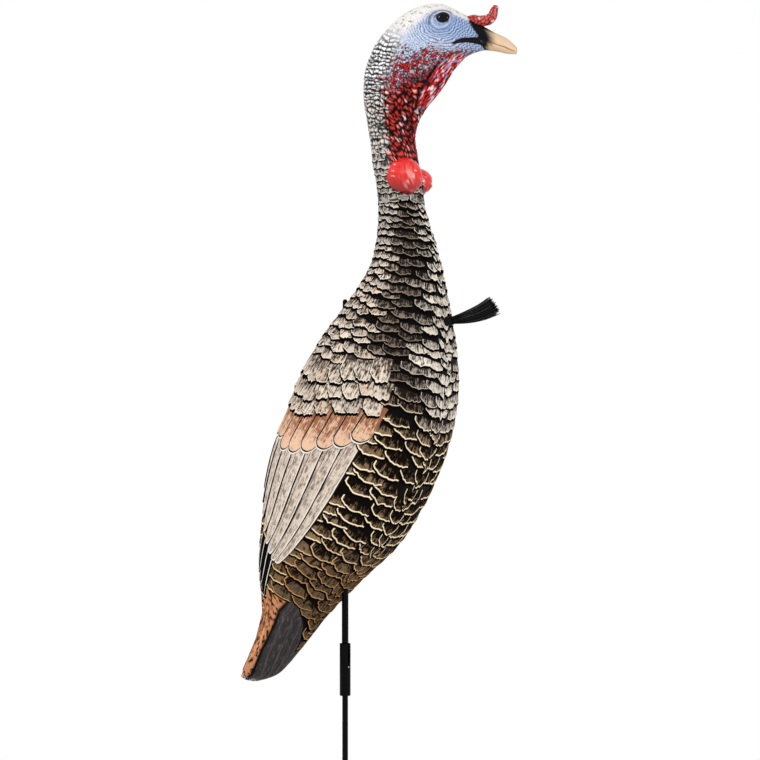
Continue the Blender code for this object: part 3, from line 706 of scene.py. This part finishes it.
def row_places(front, girth, width, odd):
    """The q of each feather of a row, from just over the back line to the parting line."""
    q = -.5 * width / girth * odd - .01
    places = []
    while q < front + .2 * width / girth:
        places.append(q)
        q += width * (.7 + .3 * smooth(.4, .6, q)) / girth
    if places[-1] < front - .3 * width / girth:
        places.append(front)
    return np.array(places)


def body_tips(loft, side, random):
    """Each small feather's tip s and q, the step to the next row in sections, and its width_mm."""
    rows = []
    row = .35
    while row < BODY_END - .05:
        step = along(SPACING_MM, row) / (loft.gap(row, .6) / MM)
        girth = loft.girth(row) / MM
        q = row_places(front_edge(side, row), girth, along(WIDTH_MM, row), len(rows) % 2)
        spacing = np.append(np.diff(q), q[-1] - q[-2])
        q = q + .1 * spacing * random.normal(size=len(q))
        sag = .72 * smooth(.15, 1.0, q) * smooth(3.0, 7.0, row) * (1 - .5 * smooth(12, 15, row))
        s = row - sag + .15 * step * random.normal(size=len(q))
        keep = ~in_wing(s, q) & ~in_band(s, q)
        rows.append(np.stack([s, q, np.full(len(q), step), spacing * girth], 1)[keep])
        row += step
    return np.concatenate(rows).T


def body_feathers(coat):
    """The scalloped rows from tail to neck, on one side, up to the mould's parting line."""
    loft, side, finish = coat
    random = np.random.default_rng(BODY_SEED[side])
    s, q, step, width = body_tips(loft, side, random)
    style = Style(lip=3.1, ragged=.02, power=1.6)
    length = step * style.overlap * loft.gap(s, np.clip(q, 0, 1))
    lean = .2 * smooth(.3, .55, q) * fall(8.5, 10.5, s) * fall(.85, 1.0, q)
    tip = np.stack([s, q], 1)
    root = tip + np.stack([step * style.overlap, lean * length / loft.girth(s)], 1)
    return plumes("feathers", coat, root, tip, width * style.wrap, body_paint(s, q, random), style,
                  lambda s: (0.0, front_edge(side, s) - PARTING_GAP), random)


def wing_limits(s):
    """The wing's feathers may go just over the back line."""
    return -.02, 1.0


def primaries(coat, random):
    """The black wing tip with its white rims."""
    root = ((5.6, .26), (5.7, .31), (5.8, .36))
    tip = ((4.35, .26), (3.95, .31), (3.62, .35))
    paint = same_paint(3, (14, 12, 12), (34, 32, 32), (236, 232, 224), (14, 12, 12), 1.3, (.2, .3), random)
    style = Style(height=1.0, lip=1.2, trim_back=.35, trim_front=.35, power=3.2, tilt=-.5, taper=.35,
                  lift=1.7, sides=0, side_edge=.82)
    return plumes("primaries", coat, root, tip, np.full(3, 17.0), paint, style, wing_limits, random)


def secondaries(coat, random):
    """The nine long pale wing feathers, side by side, with dark marks."""
    tip = ((7.15, .05), (6.75, .1), (6.35, .155), (5.95, .21), (5.6, .265), (5.32, .315), (5.1, .36),
           (4.95, .395), (4.92, .425))
    root = np.stack([np.full(9, 9.0), np.linspace(.03, .585, 9)], 1)
    widths = (26, 26, 26, 26, 27, 28, 28, 28, 30)
    paint = same_paint(9, (140, 120, 106), (226, 210, 194), (246, 240, 230), (40, 28, 22), 1.1, (.52, .56),
                       random, .04)
    paint["marked"] = 1.0
    style = Style(height=.8, lip=1.0, trim_back=.2, trim_front=.2, power=4, tilt=-.8, taper=.5,
                  side_edge=.86, lift=2.0, ragged=.0, sides=1, fan=.0)
    return plumes("secondaries", coat, root, tip, widths, paint, style, wing_limits, random,
                  np.linspace(-.01, .05, 9))


def copper_band(coat, random):
    """The row of copper coverts over the secondaries' roots."""
    q = np.linspace(.035, .6, 10)
    tip = np.stack([along(COPPER_HEM, q), q - .012], 1)
    root = np.stack([np.full(10, 9.5), q + .03], 1)
    width = np.full(10, .0628 * float(coat[0].girth(8.5)) / MM * 1.28)
    paint = same_paint(10, (150, 96, 68), (230, 190, 160), (18, 12, 10), (246, 240, 230), 1.9, (.3, .64),
                       random, .05)
    style = Style(lip=2.0, trim_back=.2, trim_front=.2, power=2.6, tilt=.35, side_edge=.94, lift=1.6,
                  ragged=.0, fan=.08)
    return plumes("copper_band", coat, root, tip, width, paint, style, wing_limits, random)


def shoulder_covers(coat, random):
    """Three rows of shoulder feathers that lie over the root of the copper band."""
    tips = []
    for number, row in enumerate((9.15, 9.55, 9.95)):
        q = -.03 + .031 * (number % 2)
        while q < .645:
            tips.append((row + .12 * math.sin(q * 14) + .04 * random.normal(), q + .006 * random.normal()))
            q += .062
    tip = np.array(tips)
    root = tip + np.array([.8, .01])
    count = len(tip)
    paint = body_paint(np.full(count, 10.0), tip[:, 1] * .8, random)
    # Less light barb at the root: painted shade under the row above.
    paint["show"] = np.tile([.36, .57], (count, 1))
    style = Style(lift=.2, height=4.0, lip=3.4, ragged=.02, fan=.08)
    return plumes("shoulder_covers", coat, root, tip, np.full(count, 25.0), paint, style, wing_limits, random)


def wing(coat):
    """The folded wing, bottom to top."""
    random = np.random.default_rng(BODY_SEED[coat[1]] + 1)
    return [layer(coat, random) for layer in (primaries, secondaries, copper_band, shoulder_covers)]


def tail_feathers(coat):
    """Long copper tail feathers, one side."""
    random = np.random.default_rng(BODY_SEED[coat[1]] + 2)
    root = ((4.9, .06), (4.9, .2), (4.9, .36))
    tip = ((.55, .1), (.75, .24), (1.3, .36))
    paint = same_paint(3, (24, 14, 10), (224, 154, 108), (232, 176, 130), (14, 10, 9), .9, (.5, .5), random)
    style = Style(height=.7, lip=1.2, trim_back=.06, trim_front=.06, power=2.5, tilt=-.4, taper=.25, lift=-.1,
                  fan=.0)
    return plumes("tail_feathers", coat, root, tip, (19, 18, 17), paint, style,
                  lambda s: (-.02, along(BAND_BACK, s)), random)


def body_skin(loft, finish):
    """The smooth skin under the feathers. The tail's bare grey band and copper edge show it; the band carries
    a painted sheen and a painted shadow line.
    """
    place = skin_grid(np.linspace(0, BODY_END, BODY_ROWS), BODY_COLUMNS)
    s, q, side = place
    girth = loft.girth(s) / MM
    back = along(BAND_BACK, s)
    from_back = (q - back) * girth
    band = smooth(-.01, .01, q - back) * fall(-.01, .01, q - along(BAND_FRONT, s)) * fall(3.9, 4.2, s)
    copper = fall(-.01, .01, q - back) * fall(4.0, 4.4, s)
    tan_edge = fall(.2, .5, s) * smooth(.15, .3, q)
    # A near-black line just past the copper edge is painted shade in a shallow groove.
    shaded_groove = bell(from_back, 1.4, 2.4) * (s < 4.2)
    ridge = np.sin(from_back * .55 + 1.1 * s) * band * smooth(0, .02, q - back)
    speckle = smooth(.1, .5, ripple(q * girth / 2.2, s * 9, 3) + .5 * ripple(q * girth / 1.1, s * 18, 4))
    streaks = ripple(from_back / .9 + 3, s * 7, 51) + .6 * ripple(from_back / .5, s * 15, 52)
    paint = mix(tone(12, 9, 8), tone(58, 54, 54), band)
    paint = mix(paint, mix(tone(204, 138, 98), tone(30, 22, 18), speckle), copper)
    # Pale ridges and streaks on the grey band are a painted sheen.
    painted_sheen = smooth(.7, 1.0, ridge) * .25 + smooth(.3, 1.1, streaks) * .6
    paint = coats(paint, ((112, 106, 105), painted_sheen * band),
                  ((16, 15, 16), smooth(.4, 1.3, -streaks) * .6 * band),
                  ((8, 7, 7), shaded_groove),
                  ((226, 216, 204), tan_edge * smooth(-.2, .5, streaks) * .8))
    height = .3 - .25 * shaded_groove + .4 * band + .3 * ridge + .1 * streaks * band
    return skin_mesh("body_skin", loft, place, height, finish, paint, 0)


# ---- the head

# In the head's paint, a and b are millimetres round the skin and along it, and wave bends what follows them.
# Lines over the head: from s to q, except FACE_LINE and BEAK_ROOT, which go from q to s.
NAPE_LINE = ((0, .62), (1.5, .56), (2.5, .53), (3.6, .52), (4.9, .4), (5.6, .3), (6.4, .22))
FACE_LINE = ((.0, 7.6), (.2, 7.2), (.3, 6.0), (.55, 5.9), (.6, 6.6), (.78, 6.9), (.85, 7.8), (1.0, 8.9))
CROWN_LINE = ((6, .4), (7.5, .34), (8.2, .33), (8.9, .29), (9.8, .24), (10.6, .22), (11.4, .18), (12.2, 0))
MOUTH_LINE = (
    (8.3, .75), (9.4, .745), (10.5, .735), (11.6, .69), (12.4, .6), (12.8, .56), (14.0, .56), (15, .6),
)
BEAK_ROOT = ((0, 12.3), (.18, 12.05), (.5, 12.3), (.66, 11.9), (.83, 11.35), (1.0, 11.2))
FOLD_LINE = ((3.9, .9), (4.3, .83), (4.8, .79), (5.4, .79), (6.2, .82))
GAPE_MM = ((8.4, 1.6), (9.4, 4.0), (10.5, 5.4), (11.6, 7.0), (12.5, 6.0))
EYE = (.132, .986)
EYE_REACH = (.0082, .0066)
EYE_RADII = (EYE_REACH[0] * 1.08, .0054, EYE_REACH[1] * 1.08)
EYE_PLACE = (9.83, .355)
EYE_SUNK_MM = 1.6
NOSTRIL = (11.85, .25)
NOSTRIL_REACH = (.5, .24)
HEAD_ROWS = 350
HEAD_COLUMNS = 140
INNER_ROWS = (1.6, .8, 0)


def nape_skin(s, a, b, wave):
    """The nape's pale skin, cracked crosswise: its colour, and how dark its cracks are."""
    crack, cell = cells((a + wave) / 7, (b + 1.2 * wave + .15 * np.abs(a)) / 5.5, 3, 1.3)
    folds = np.abs(np.sin(math.pi * (b + .9 * wave + 2.6 * ripple(a / 10, b / 7, 31)) / 5.0))
    dark = np.maximum(fall(.48, .78, folds), .95 * fall(.12, .32, crack))
    pale = mix(tone(222, 213, 204), tone(255, 255, 255), smooth(3.0, 6.0, s))
    pale = pale * (.86 + .28 * cell)[..., None]
    return coats(pale, ((14, 12, 13), dark * (1 - .5 * smooth(6.6, 8.4, s)))), dark


def red_skin(s, a, b, wave):
    """The throat's red lumps with painted highlights: their colour, how dark the cracks between them are, and
    a number for each.
    """
    crack, cell = cells((a + 2.0 * wave) / 10.5, (b + 2.4 * wave + .75 * np.abs(a)) / 3.5, 7, 3.0)
    dark = fall(.34, .84, crack)
    red = mix(tone(190, 40, 36), tone(226, 78, 68), cell ** 2)
    # Pale lump centres and some white lumps are painted highlights.
    red = coats(red, ((252, 190, 182), smooth(.95, 1.6, crack) * .9),
                ((238, 226, 226), (cell > .87) * smooth(1.8, 3.5, s) * .8),
                ((14, 6, 7), dark))
    return red, dark, cell


def flap_skin(loft, s, q, side, wave):
    """The flap under the chin, streaked lengthwise: its colour, and how dark its streaks are."""
    down = loft.length_to(s, .9) / MM
    across = (1 - q) * loft.girth(s) / MM * side + .5 * wave
    streak = ripple(down / 6, across / 1.5, 13) + .5 * ripple(down / 3, across / .8, 14)
    dark = smooth(.05, .45, -streak)
    flap = mix(tone(206, 48, 44), tone(240, 226, 228), smooth(.35, .65, streak))
    flap = coats(flap, ((128, 150, 196), smooth(.3, .5, ripple(down / 5, across / 1.8, 15)) * .8),
                 ((30, 10, 12), dark * .95))
    return flap, dark


def face_skin(s, q, cell, dark):
    """The face's blue skin with dark cracks, paler towards the crown and throat."""
    pale = smooth(9.6, 7.6, s) * .75 + .3 * smooth(.5, .85, q) + .4 * (cell - .4)
    pale = pale + .3 * bell(q - along(CROWN_LINE, s), 0, .08)
    blue = mix(tone(136, 162, 208), tone(214, 228, 248), np.clip(pale, 0, 1))
    near_red = fall(.3, 2.2, s - along(FACE_LINE, q))
    return mix(blue, mix(tone(54, 70, 112), tone(20, 20, 34), near_red), dark * (.62 + .3 * near_red))


def fleck_skin(cell, crack):
    """Blue, red and white flecks where the red throat meets the blue face."""
    fleck = mix(tone(176, 196, 230), tone(214, 56, 50), smooth(.42, .5, 1 - cell))
    return coats(fleck, ((240, 240, 246), cell > .86), ((18, 14, 20), fall(.16, .58, crack)))


def beak_horn(s, q, a, b):
    """The beak's horn, dark at its root."""
    grain = np.clip(.5 + .5 * ripple(a / 3, b / 7, 21), 0, 1)
    horn = mix(tone(226, 194, 160), tone(196, 158, 118), grain * .5)
    horn = coats(horn, ((238, 216, 190), smooth(.0, .5, q) * fall(.35, .55, q) * .5))
    past_root = s - along(BEAK_ROOT, q) + .12 * ripple(a / 2, b / 5, 8)
    return mix(tone(24, 21, 20), horn, smooth(.25, 1.25, past_root))


def mouth_gape(s, q, off_mouth, wave):
    """The dark corner of the mouth, a wedge that opens forwards, and the dark band round the beak's root."""
    wedge = smooth(8.35, 8.7, s) * fall(11.6, 12.5, s + .012 * wave)
    wedge = wedge * fall(.75, 1.1, np.abs(off_mouth) / along(GAPE_MM, s))
    band = fall(.3, .6, np.abs(s - along(BEAK_ROOT, q) + .12)) * fall(.6, .74, q)
    return np.maximum(wedge, band)


def eye_surround(loft, s, q, wave, bare, gape):
    """The lids, pouch and wrinkles round the eye: their coats of paint, and their height in millimetres."""
    points = loft.at(s, q, 0 * s, RIGHT)
    x = (points[..., 0] - EYE[0]) / EYE_REACH[0]
    z = (points[..., 2] - EYE[1]) / EYE_REACH[1]
    eye = np.hypot(x, z)
    near = (s > 8) & (s < 12) & (q < .6)
    under = smooth(.35, -.35, z + .5 * x)
    lid = bell(eye, 1.22, .2) * near
    lash = bell(eye, 1.14, .16) * near * (1 - .6 * under)
    pouch = bell(eye, 1.66, .1) * near
    crease = bell(eye, 1.85, .1) * near * smooth(-.1, .7, z - .7 * x)
    arcs = np.abs(np.sin(math.pi * (eye * 2.3 + .34 * wave)))
    wrinkled = smooth(1.9, 2.3, eye) * smooth(7.2, 8.2, s) * bare
    ridges = smooth(.75, .98, arcs) * wrinkled
    hollows = fall(.2, .66, arcs) * wrinkled
    layers = (
        ((216, 228, 248), ridges * (1 - gape) * .45),
        ((58, 74, 118), hollows * (1 - gape) * .8),
        ((206, 220, 240), lid * under),
        ((226, 224, 222), lid * (1 - under) * .8),
        ((16, 16, 20), lash * .9),
        ((84, 100, 142), pouch * under * .7),
        ((40, 44, 58), crease * .85),
    )
    return layers, lid - .6 * crease - .3 * pouch * under - .25 * hollows


def head_skin(loft, finish):
    """The painted, wrinkled skin of the head and upper neck. Its first rows line the inside of the neck."""
    rows = np.linspace(0, 1, HEAD_ROWS) ** .96 * HEAD_END
    rows[:len(INNER_ROWS)] = INNER_ROWS
    place = skin_grid(rows, HEAD_COLUMNS)
    s, q, side = place
    girth = loft.girth(s) / MM
    a = side * q * girth
    b = loft.length_to(s, .5) / MM
    wave = ripple(a / 7, b / 7, 1) * 1.5 + ripple(a / 3, b / 3, 2) * .4

    past_nape = q - along(NAPE_LINE, s)
    past_face = s - along(FACE_LINE, q)
    past_crown = q - along(CROWN_LINE, s)
    past_fold = q - along(FOLD_LINE, s)
    off_mouth = (q - along(MOUTH_LINE, s)) * girth
    nape_paint, nape_dark = nape_skin(s, a, b, wave)
    red_paint, red_dark, red_cell = red_skin(s, a, b, wave)
    flap_paint, flap_dark = flap_skin(loft, s, q, side, wave)
    face_crack, face_cell = cells((a + .7 * wave) / 3.0, (b + .5 * wave) / 2.2, 17, 1.35)
    face_dark = fall(.02, .34, face_crack)

    flap = smooth(0, .03, past_fold) * smooth(3.8, 4.6, s) * fall(7.6, 8.6, s)
    red = smooth(-.02, .02, past_nape + .12 * (red_cell - .5) + .03 * ripple(a / 6, b / 6, 61))
    face = smooth(-.45, .45, past_face - .35 + 2.3 * (face_cell - .5) + .25 * ripple(a / 5, b / 5, 5))
    face_area = smooth(-.9, .9, past_face)
    crown = fall(-.06, .08, past_crown + .02 * wave) * smooth(5.0, 6.5, s)
    high_nape = fall(-.06, .06, past_crown) * fall(6.8, 8.2, s) * smooth(5.0, 5.8, s)
    between = bell(past_face, -.15, .85) * smooth(.02, .08, past_nape)
    beak = smooth(-.1, .1, s - along(BEAK_ROOT, q))
    gape = mouth_gape(s, q, off_mouth, wave)
    nostril = bell(s, NOSTRIL[0], NOSTRIL_REACH[0]) * bell(q, NOSTRIL[1], NOSTRIL_REACH[1])
    slit = bell(off_mouth, 0, .55) * smooth(8.6, 9.0, s) * fall(14.8, 15.0, s)
    fold = bell(past_fold * girth, 0, 2.4) * smooth(3.7, 4.4, s) * fall(6.0, 6.8, s)
    speck = (face_cell > .9) * smooth(5.5, 7.5, s)
    surround, surround_height = eye_surround(loft, s, q, wave, (1 - crown) * (1 - beak), gape)

    paint = mix(nape_paint, mix(red_paint, flap_paint, flap), red)
    paint = mix(paint, face_skin(s, q, face_cell, face_dark), face)
    paint = mix(paint, fleck_skin(face_cell, face_crack), between * .95)
    crown_paint = mix(tone(243, 240, 236), tone(84, 80, 80), face_dark * .3 + speck * .45)
    paint = mix(paint, crown_paint, crown * smooth(6.8, 8.2, s))
    paint = coats(paint, ((26, 23, 21), fall(.9, 1.5, s)))
    paint = mix(paint, nape_paint, high_nape)
    paint = mix(paint, beak_horn(s, q, a, b), beak)
    paint = coats(paint, ((18, 17, 20), np.clip(gape + .95 * smooth(.35, .7, nostril), 0, 1)),
                  ((70, 48, 34), slit * .65), ((12, 5, 6), fold * .9), *surround)

    bare_neck = 1 - face_area
    relief = -.95 * nape_dark * (1 - red) * bare_neck - .95 * nape_dark * high_nape * .5
    relief = relief - (red_dark * (1 - flap) + flap_dark * flap) * red * bare_neck
    relief = relief - .28 * face_dark * face_area
    relief = relief + .35 * (red_cell - .5) * red * bare_neck
    relief = relief * (1 - beak) - 2.2 * fold - .9 * slit - .8 * smooth(.5, .9, nostril)
    feathered = fall(1.9, 2.4, s)
    relief = relief * fall(.97, 1.0, q) * smooth(0, .15, s) * (1 - feathered) + .3 - .5 * feathered
    relief = relief + surround_height
    relief[:len(INNER_ROWS)] = -WALL_MM
    return skin_mesh("head_skin", loft, place, relief, finish, paint, HEAD_ROWS - 1)


NECK_STEP_MM = 7.6
NECK_WIDTH_MM = 11.0


def neck_tips(loft, random):
    """Each scale's tip s and q, and the step to the next row in sections."""
    tips = []
    row = -.1
    number = 0
    while row < 2.5:
        on_loft = max(row, 0)
        spacing = NECK_WIDTH_MM / (loft.girth(on_loft) / MM)
        step = NECK_STEP_MM / (loft.gap(on_loft, .5) / MM)
        limit = along(NAPE_LINE, row) - .03 if row > 1.35 else 2.0
        q = -.5 * spacing * (number % 2)
        while q < 1.05:
            if q < limit:
                tips.append((row + .12 * step * random.normal(), q + .1 * spacing * random.normal(), step))
            q += spacing
        row += step
        number += 1
    return np.array(tips)


def neck_feathers(coat):
    """Small scale feathers on the head's neck. The lowest row hangs over the joint, clear of the body."""
    random = np.random.default_rng(BODY_SEED[coat[1]] + 3)
    s, q, step = neck_tips(coat[0], random).T
    style = Style(height=1.2, lip=1.9, trim_back=.22, trim_front=.14, overlap=1.8, tilt=.2, arch=.2,
                  lift=.35 - 1.3 * smooth(1.9, 2.5, s), buried=np.where(s < .1, .9, BURIED_MM))
    tip = np.stack([s, q], 1)
    root = tip + np.stack([step * style.overlap, 0 * s], 1)
    paint = body_paint(np.full(len(s), 15.0), np.minimum(q, .48), random)
    paint["light"] = coats(paint["light"], ((222, 218, 214), smooth(.5, 4.0, s)))
    return plumes("neck_feathers", coat, root, tip, np.full(len(s), NECK_WIDTH_MM * style.wrap), paint, style,
                  lambda s: (0.0, 1.0), random)


# ---- eyes, flesh and bristles

# Lines of (x, z, radius) down the middle of the snood and the beard.
SNOOD_LINE = ((.152, .984, .005), (.165, .9865, .006), (.178, .9855, .0064), (.188, .989, .006),
              (.192, .998, .0045), (.1935, 1.004, .0025))
SNOOD_SIDES = 32
SNOOD_LUMPS = .0006
BEARD_LINE = ((.1315, .628, .004), (.14, .6295, .0043), (.158, .6334, .0074), (.176, .6394, .0096),
              (.1915, .647, .011))
BRISTLES = 230
BRISTLE_RADIUS = .00062
BRISTLE_SIDES = 5
CARUNCLES = {
    "caruncle_left": ((.0855, .0163, .795), (.02, .015, .0168)),
    "caruncle_right": ((.0808, -.0163, .8002), (.0245, .0159, .024)),
}
CARUNCLE_LUMPS = ((1.6, .06, 2), (3.4, .015, 6))


def ball(name, centre, radii, finish, lumps=(), rings=64, paint=None):
    """A ball of chosen radii, swollen and pinched by waves of a size, an amount and a seed each."""
    lift = np.linspace(0, math.pi, rings + 1)[:, None]
    turn = np.linspace(0, 2 * math.pi, 2 * rings, endpoint=False)[None, :]
    ray = np.stack([np.sin(lift) * np.cos(turn), np.sin(lift) * np.sin(turn), np.cos(lift) + 0 * turn], -1)
    swell = np.ones(ray.shape[:2])
    for size, amount, seed in lumps:
        x, y, z = np.moveaxis(ray * size, -1, 0)
        swell = swell + amount * ripple(x + 3.1 * z, y + 17 + z, seed)
    points = np.array(centre) + ray * np.array(radii) * swell[..., None]
    faces = grid_faces(1, rings + 1, 2 * rings, closed=True, flip=True)
    return mesh_object(name, points, faces, finish, {"paint": paint(ray)} if paint else None)


def caruncle_paint(ray):
    """Bright red above and darker below and towards the neck, which is painted shade, with a pale painted
    highlight in front.
    """
    x = ray[..., 0]
    z = ray[..., 2]
    veins = ripple(x * 11 + 9 + 3 * z, z * 4 + 11, 41)
    # A pale patch in front, broken up by the veins, is a painted highlight.
    painted_highlight = bell(x, .5, .26) * bell(z, -.1, .55)
    # Darker below and towards the neck: painted shade.
    colour = mix(tone(120, 10, 10), tone(228, 34, 30), smooth(-1.0, .4, z + .25 * x))
    return coats(colour, ((252, 190, 182), painted_highlight * smooth(-.1, .7, veins) * .65),
                 ((150, 8, 8), smooth(.3, .9, -veins) * .5))


def flat_line(points, steps):
    """A smooth line in the plane y = 0: rows of x, y, z and radius, and the normals in that plane."""
    line = spline(np.array([(x, 0, z, radius) for x, z, radius in points]), steps)
    tangent = np.gradient(line[:, :3], axis=0)
    tangent /= np.linalg.norm(tangent, axis=1, keepdims=True)
    return line, np.cross(tangent, (0, 1, 0))


def hoops(centres, radii, normal, sides):
    """Rings of points round a line, each in the plane of its normal and y."""
    turn = np.linspace(0, 2 * math.pi, sides, endpoint=False)[None, :, None]
    ring = np.cos(turn) * normal[:, None, :] + np.sin(turn) * np.array([0, 1, 0])
    return centres[:, None, :] + radii[:, None, None] * ring


def snood(finish):
    """The fleshy horn over the beak, a lumpy closed tube with a rounded tip."""
    line, normal = flat_line(SNOOD_LINE, 14)
    centres = line[:, :3]
    radii = line[:, 3]
    radii[-3:] = (radii[-3] * .85, radii[-2] * .62, .0006)
    count = len(line)
    i = np.arange(count)[:, None] + 0 * np.arange(SNOOD_SIDES)
    j = np.arange(SNOOD_SIDES)[None, :] + 0 * i
    points = hoops(centres, radii, normal, SNOOD_SIDES)
    bumpy = ripple(i / count * 14, np.cos(2 * math.pi * j / SNOOD_SIDES) * 2 + 5, 3)
    outward = (points - centres[:, None]) / (radii[:, None, None] + 1e-6)
    points = points + SNOOD_LUMPS * bumpy[..., None] * outward
    crack, cell = cells(i / 5.5, j / 4.0, 4)
    paint = coats(mix(tone(206, 40, 36), tone(232, 92, 84), cell), ((246, 206, 200), (cell > .88) * .8),
                  ((24, 8, 8), fall(.08, .34, crack)))
    faces = grid_faces(1, count, SNOOD_SIDES, closed=True)
    faces.append(list(range(SNOOD_SIDES))[::-1])
    faces.append([(count - 1) * SNOOD_SIDES + k for k in range(SNOOD_SIDES)])
    return mesh_object("snood_flesh", points, faces, finish, {"paint": paint})


def bristles(finish):
    """The beard's separate bristles, fanning out from the collar."""
    random = np.random.default_rng(5)
    line, normal = flat_line(BEARD_LINE, 4)
    angle = random.random(BRISTLES) * 2 * math.pi
    share = np.sqrt(random.random(BRISTLES)) * .95
    steps = len(line)
    way = np.linspace(0, 1, steps)
    pieces = []
    for k in range(BRISTLES):
        reach = np.clip(way * (1 + .03 * random.normal()), 0, 1.0)
        kink = .0004 * random.normal(size=2)
        sweep = np.stack([np.interp(reach, way, line[:, c]) for c in range(4)], 1)
        off_y = share[k] * math.cos(angle[k]) * sweep[:, 3] + kink[0] * way * steps / 4
        off_n = share[k] * math.sin(angle[k]) * sweep[:, 3] + kink[1] * way * steps / 4
        centre = sweep[:, :3] + off_y[:, None] * np.array([0, 1, 0]) + off_n[:, None] * normal
        pieces.append(hoops(centre, BRISTLE_RADIUS * (1 - .55 * way ** 2), normal, BRISTLE_SIDES))
    faces = grid_faces(BRISTLES, steps, BRISTLE_SIDES, closed=True)
    return mesh_object("beard_bristles", np.array(pieces), faces, finish)


# ---- stage

# Each light's place, size and power in watts.
LIGHTS = {
    "left_box": ((-2.2, -2.2, 1.9), (.6, 1.2), 42),
    "right_box": ((2.6, -1.8, 1.3), (.5, 1.2), 34),
}
LIT_POINT = (.04, 0, .6)
CAMERA_TARGET = (.0388, .0157, .558)
CAMERA_AZIMUTH = math.radians(22)
CAMERA_DISTANCE = 8.0
VIEW_WIDTH = .912
SENSOR_WIDTH_MM = 36
FLOOR_Z = -.0006
FLOOR_RADII = (.0005, 1.3)
FLOOR_SIDES = 96


def area_light(name, at, size, power):
    """A rectangular light that faces the object."""
    data = bpy.data.lights.new(name, "AREA")
    data.shape = "RECTANGLE"
    data.size = size[0]
    data.size_y = size[1]
    data.energy = power
    obj = in_scene(name, data)
    obj.location = at
    look = Vector(LIT_POINT) - Vector(at)
    obj.rotation_euler = look.to_track_quat("-Z", "Y").to_euler()


def camera():
    """A long lens far off, level, a little round to the front from the right side."""
    away = Vector((math.sin(CAMERA_AZIMUTH), -math.cos(CAMERA_AZIMUTH), 0))
    data = bpy.data.cameras.new("camera")
    data.sensor_width = SENSOR_WIDTH_MM
    data.lens = SENSOR_WIDTH_MM * CAMERA_DISTANCE / VIEW_WIDTH
    data.clip_end = 100
    obj = in_scene("camera", data)
    obj.location = Vector(CAMERA_TARGET) + away * CAMERA_DISTANCE
    obj.rotation_euler = (-away).to_track_quat("-Z", "Y").to_euler()
    bpy.context.scene.camera = obj


def floor():
    """A round white floor just under the ground line."""
    turn = np.linspace(0, 2 * math.pi, FLOOR_SIDES, endpoint=False)
    radius = np.array(FLOOR_RADII)[:, None]
    points = np.stack([radius * np.cos(turn), radius * np.sin(turn), FLOOR_Z + 0 * radius * turn], -1)
    finish = plain_finish("floor_paint", (244, 244, 244), .8)
    mesh_object("floor", points, grid_faces(1, 2, FLOOR_SIDES, closed=True), finish)


def stage():
    """A white room with two lights and a floor."""
    scene = bpy.context.scene
    scene.view_settings.view_transform = "Standard"
    world = bpy.data.worlds.new("white")
    world.use_nodes = True
    background = world.node_tree.nodes["Background"]
    background.inputs[0].default_value = (1, 1, 1, 1)
    background.inputs[1].default_value = 1.0
    scene.world = world
    for name, (at, size, power) in LIGHTS.items():
        area_light(name, at, size, power)
    floor()


# ---- putting it together

NODES_OF_FINISH = {
    "shell": "body_shell head_shell",
    "plastic": "guide_tube pivot_bush thrust_washer neck_socket beard_socket neck_plug",
    "rubber": "belly_grommet plug_seal beard_collar",
    "rod": "upper_rod lower_rod ferrule foot_step pivot_pin",
    "steel": "ground_point cross_pin step_screw",
    "glass": "eye_left eye_right",
    "caruncle": "snood caruncle_left caruncle_right",
    "hair": "beard",
}


def all_finishes():
    """Every material but the floor's, by what it is for."""
    return {
        "feather": feather_finish(),
        "skin": painted_finish("body_paint", .55, .02, 1500, .12, .12),
        "head": painted_finish("head_paint", .4, .05, 1800, .1, .06),
        "snood": painted_finish("flesh_paint", .25, .35, 1400, .12, .08),
        "caruncle": painted_finish("caruncle_paint", .18, .45, 260, .35, .08),
        "plastic": plain_finish("black_plastic", (30, 29, 29), .45),
        "rubber": plain_finish("black_rubber", (14, 13, 13), .6, .15),
        "rod": plain_finish("black_rod", (5, 5, 5), .24, .06, 0, 1500, .03),
        "steel": plain_finish("steel", (176, 178, 182), .3, .5, 1.0),
        "glass": plain_finish("eye_glass", (6, 5, 5), .05, .15, 0, 300, .0),
        "hair": plain_finish("bristle", (9, 8, 8), .35, .2),
        "shell": plain_finish("moulded_shell", (58, 48, 40), .6),
    }


def paint_nodes(nodes, finish):
    """The CAD's own meshes given their materials."""
    for kind, names in NODES_OF_FINISH.items():
        for name in names.split():
            nodes[name].data.materials.clear()
            nodes[name].data.materials.append(finish[kind])


def join(piece, body, replaced=None):
    """A piece put on its body, in place of a CAD node if one is named."""
    if replaced:
        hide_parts(replaced)
    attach(piece, body)


def cover_body(loft, finish):
    """The body's skin and feathers."""
    pieces = [body_skin(loft, finish["skin"])]
    for side in (RIGHT, LEFT):
        coat = (loft, side, finish["feather"])
        pieces.extend([body_feathers(coat), *wing(coat), tail_feathers(coat)])
    for piece in pieces:
        join(piece, "decoy_body")


def cover_head(loft, finish):
    """The head's skin, scales, snood, caruncles and eyes."""
    join(head_skin(loft, finish["head"]), "head", "head_shell")
    for side in (RIGHT, LEFT):
        join(neck_feathers((loft, side, finish["feather"])), "head")
    join(snood(finish["snood"]), "head", "snood")
    for name, (centre, radii) in CARUNCLES.items():
        lump = ball(name + "_flesh", centre, radii, finish["caruncle"], CARUNCLE_LUMPS, 90, caruncle_paint)
        join(lump, "head", name)
    for side in (RIGHT, LEFT):
        name = "eye_" + SIDES[side]
        s, q = np.array(EYE_PLACE)[:, None]
        centre = loft.at(s, q, -EYE_SUNK_MM * MM, side)[0]
        join(ball(name + "_glass", centre, EYE_RADII, finish["glass"]), "head", name)


def main():
    """Covers the CAD frame with the visual model."""
    bpy.context.preferences.edit.use_global_undo = False
    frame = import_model()
    finish = all_finishes()
    paint_nodes(frame["nodes"], finish)
    cover_body(Loft(BODY_SECTIONS), finish)
    cover_head(Loft(HEAD_SECTIONS), finish)
    join(bristles(finish["hair"]), "beard", "beard")
    stage()
    camera()


main()
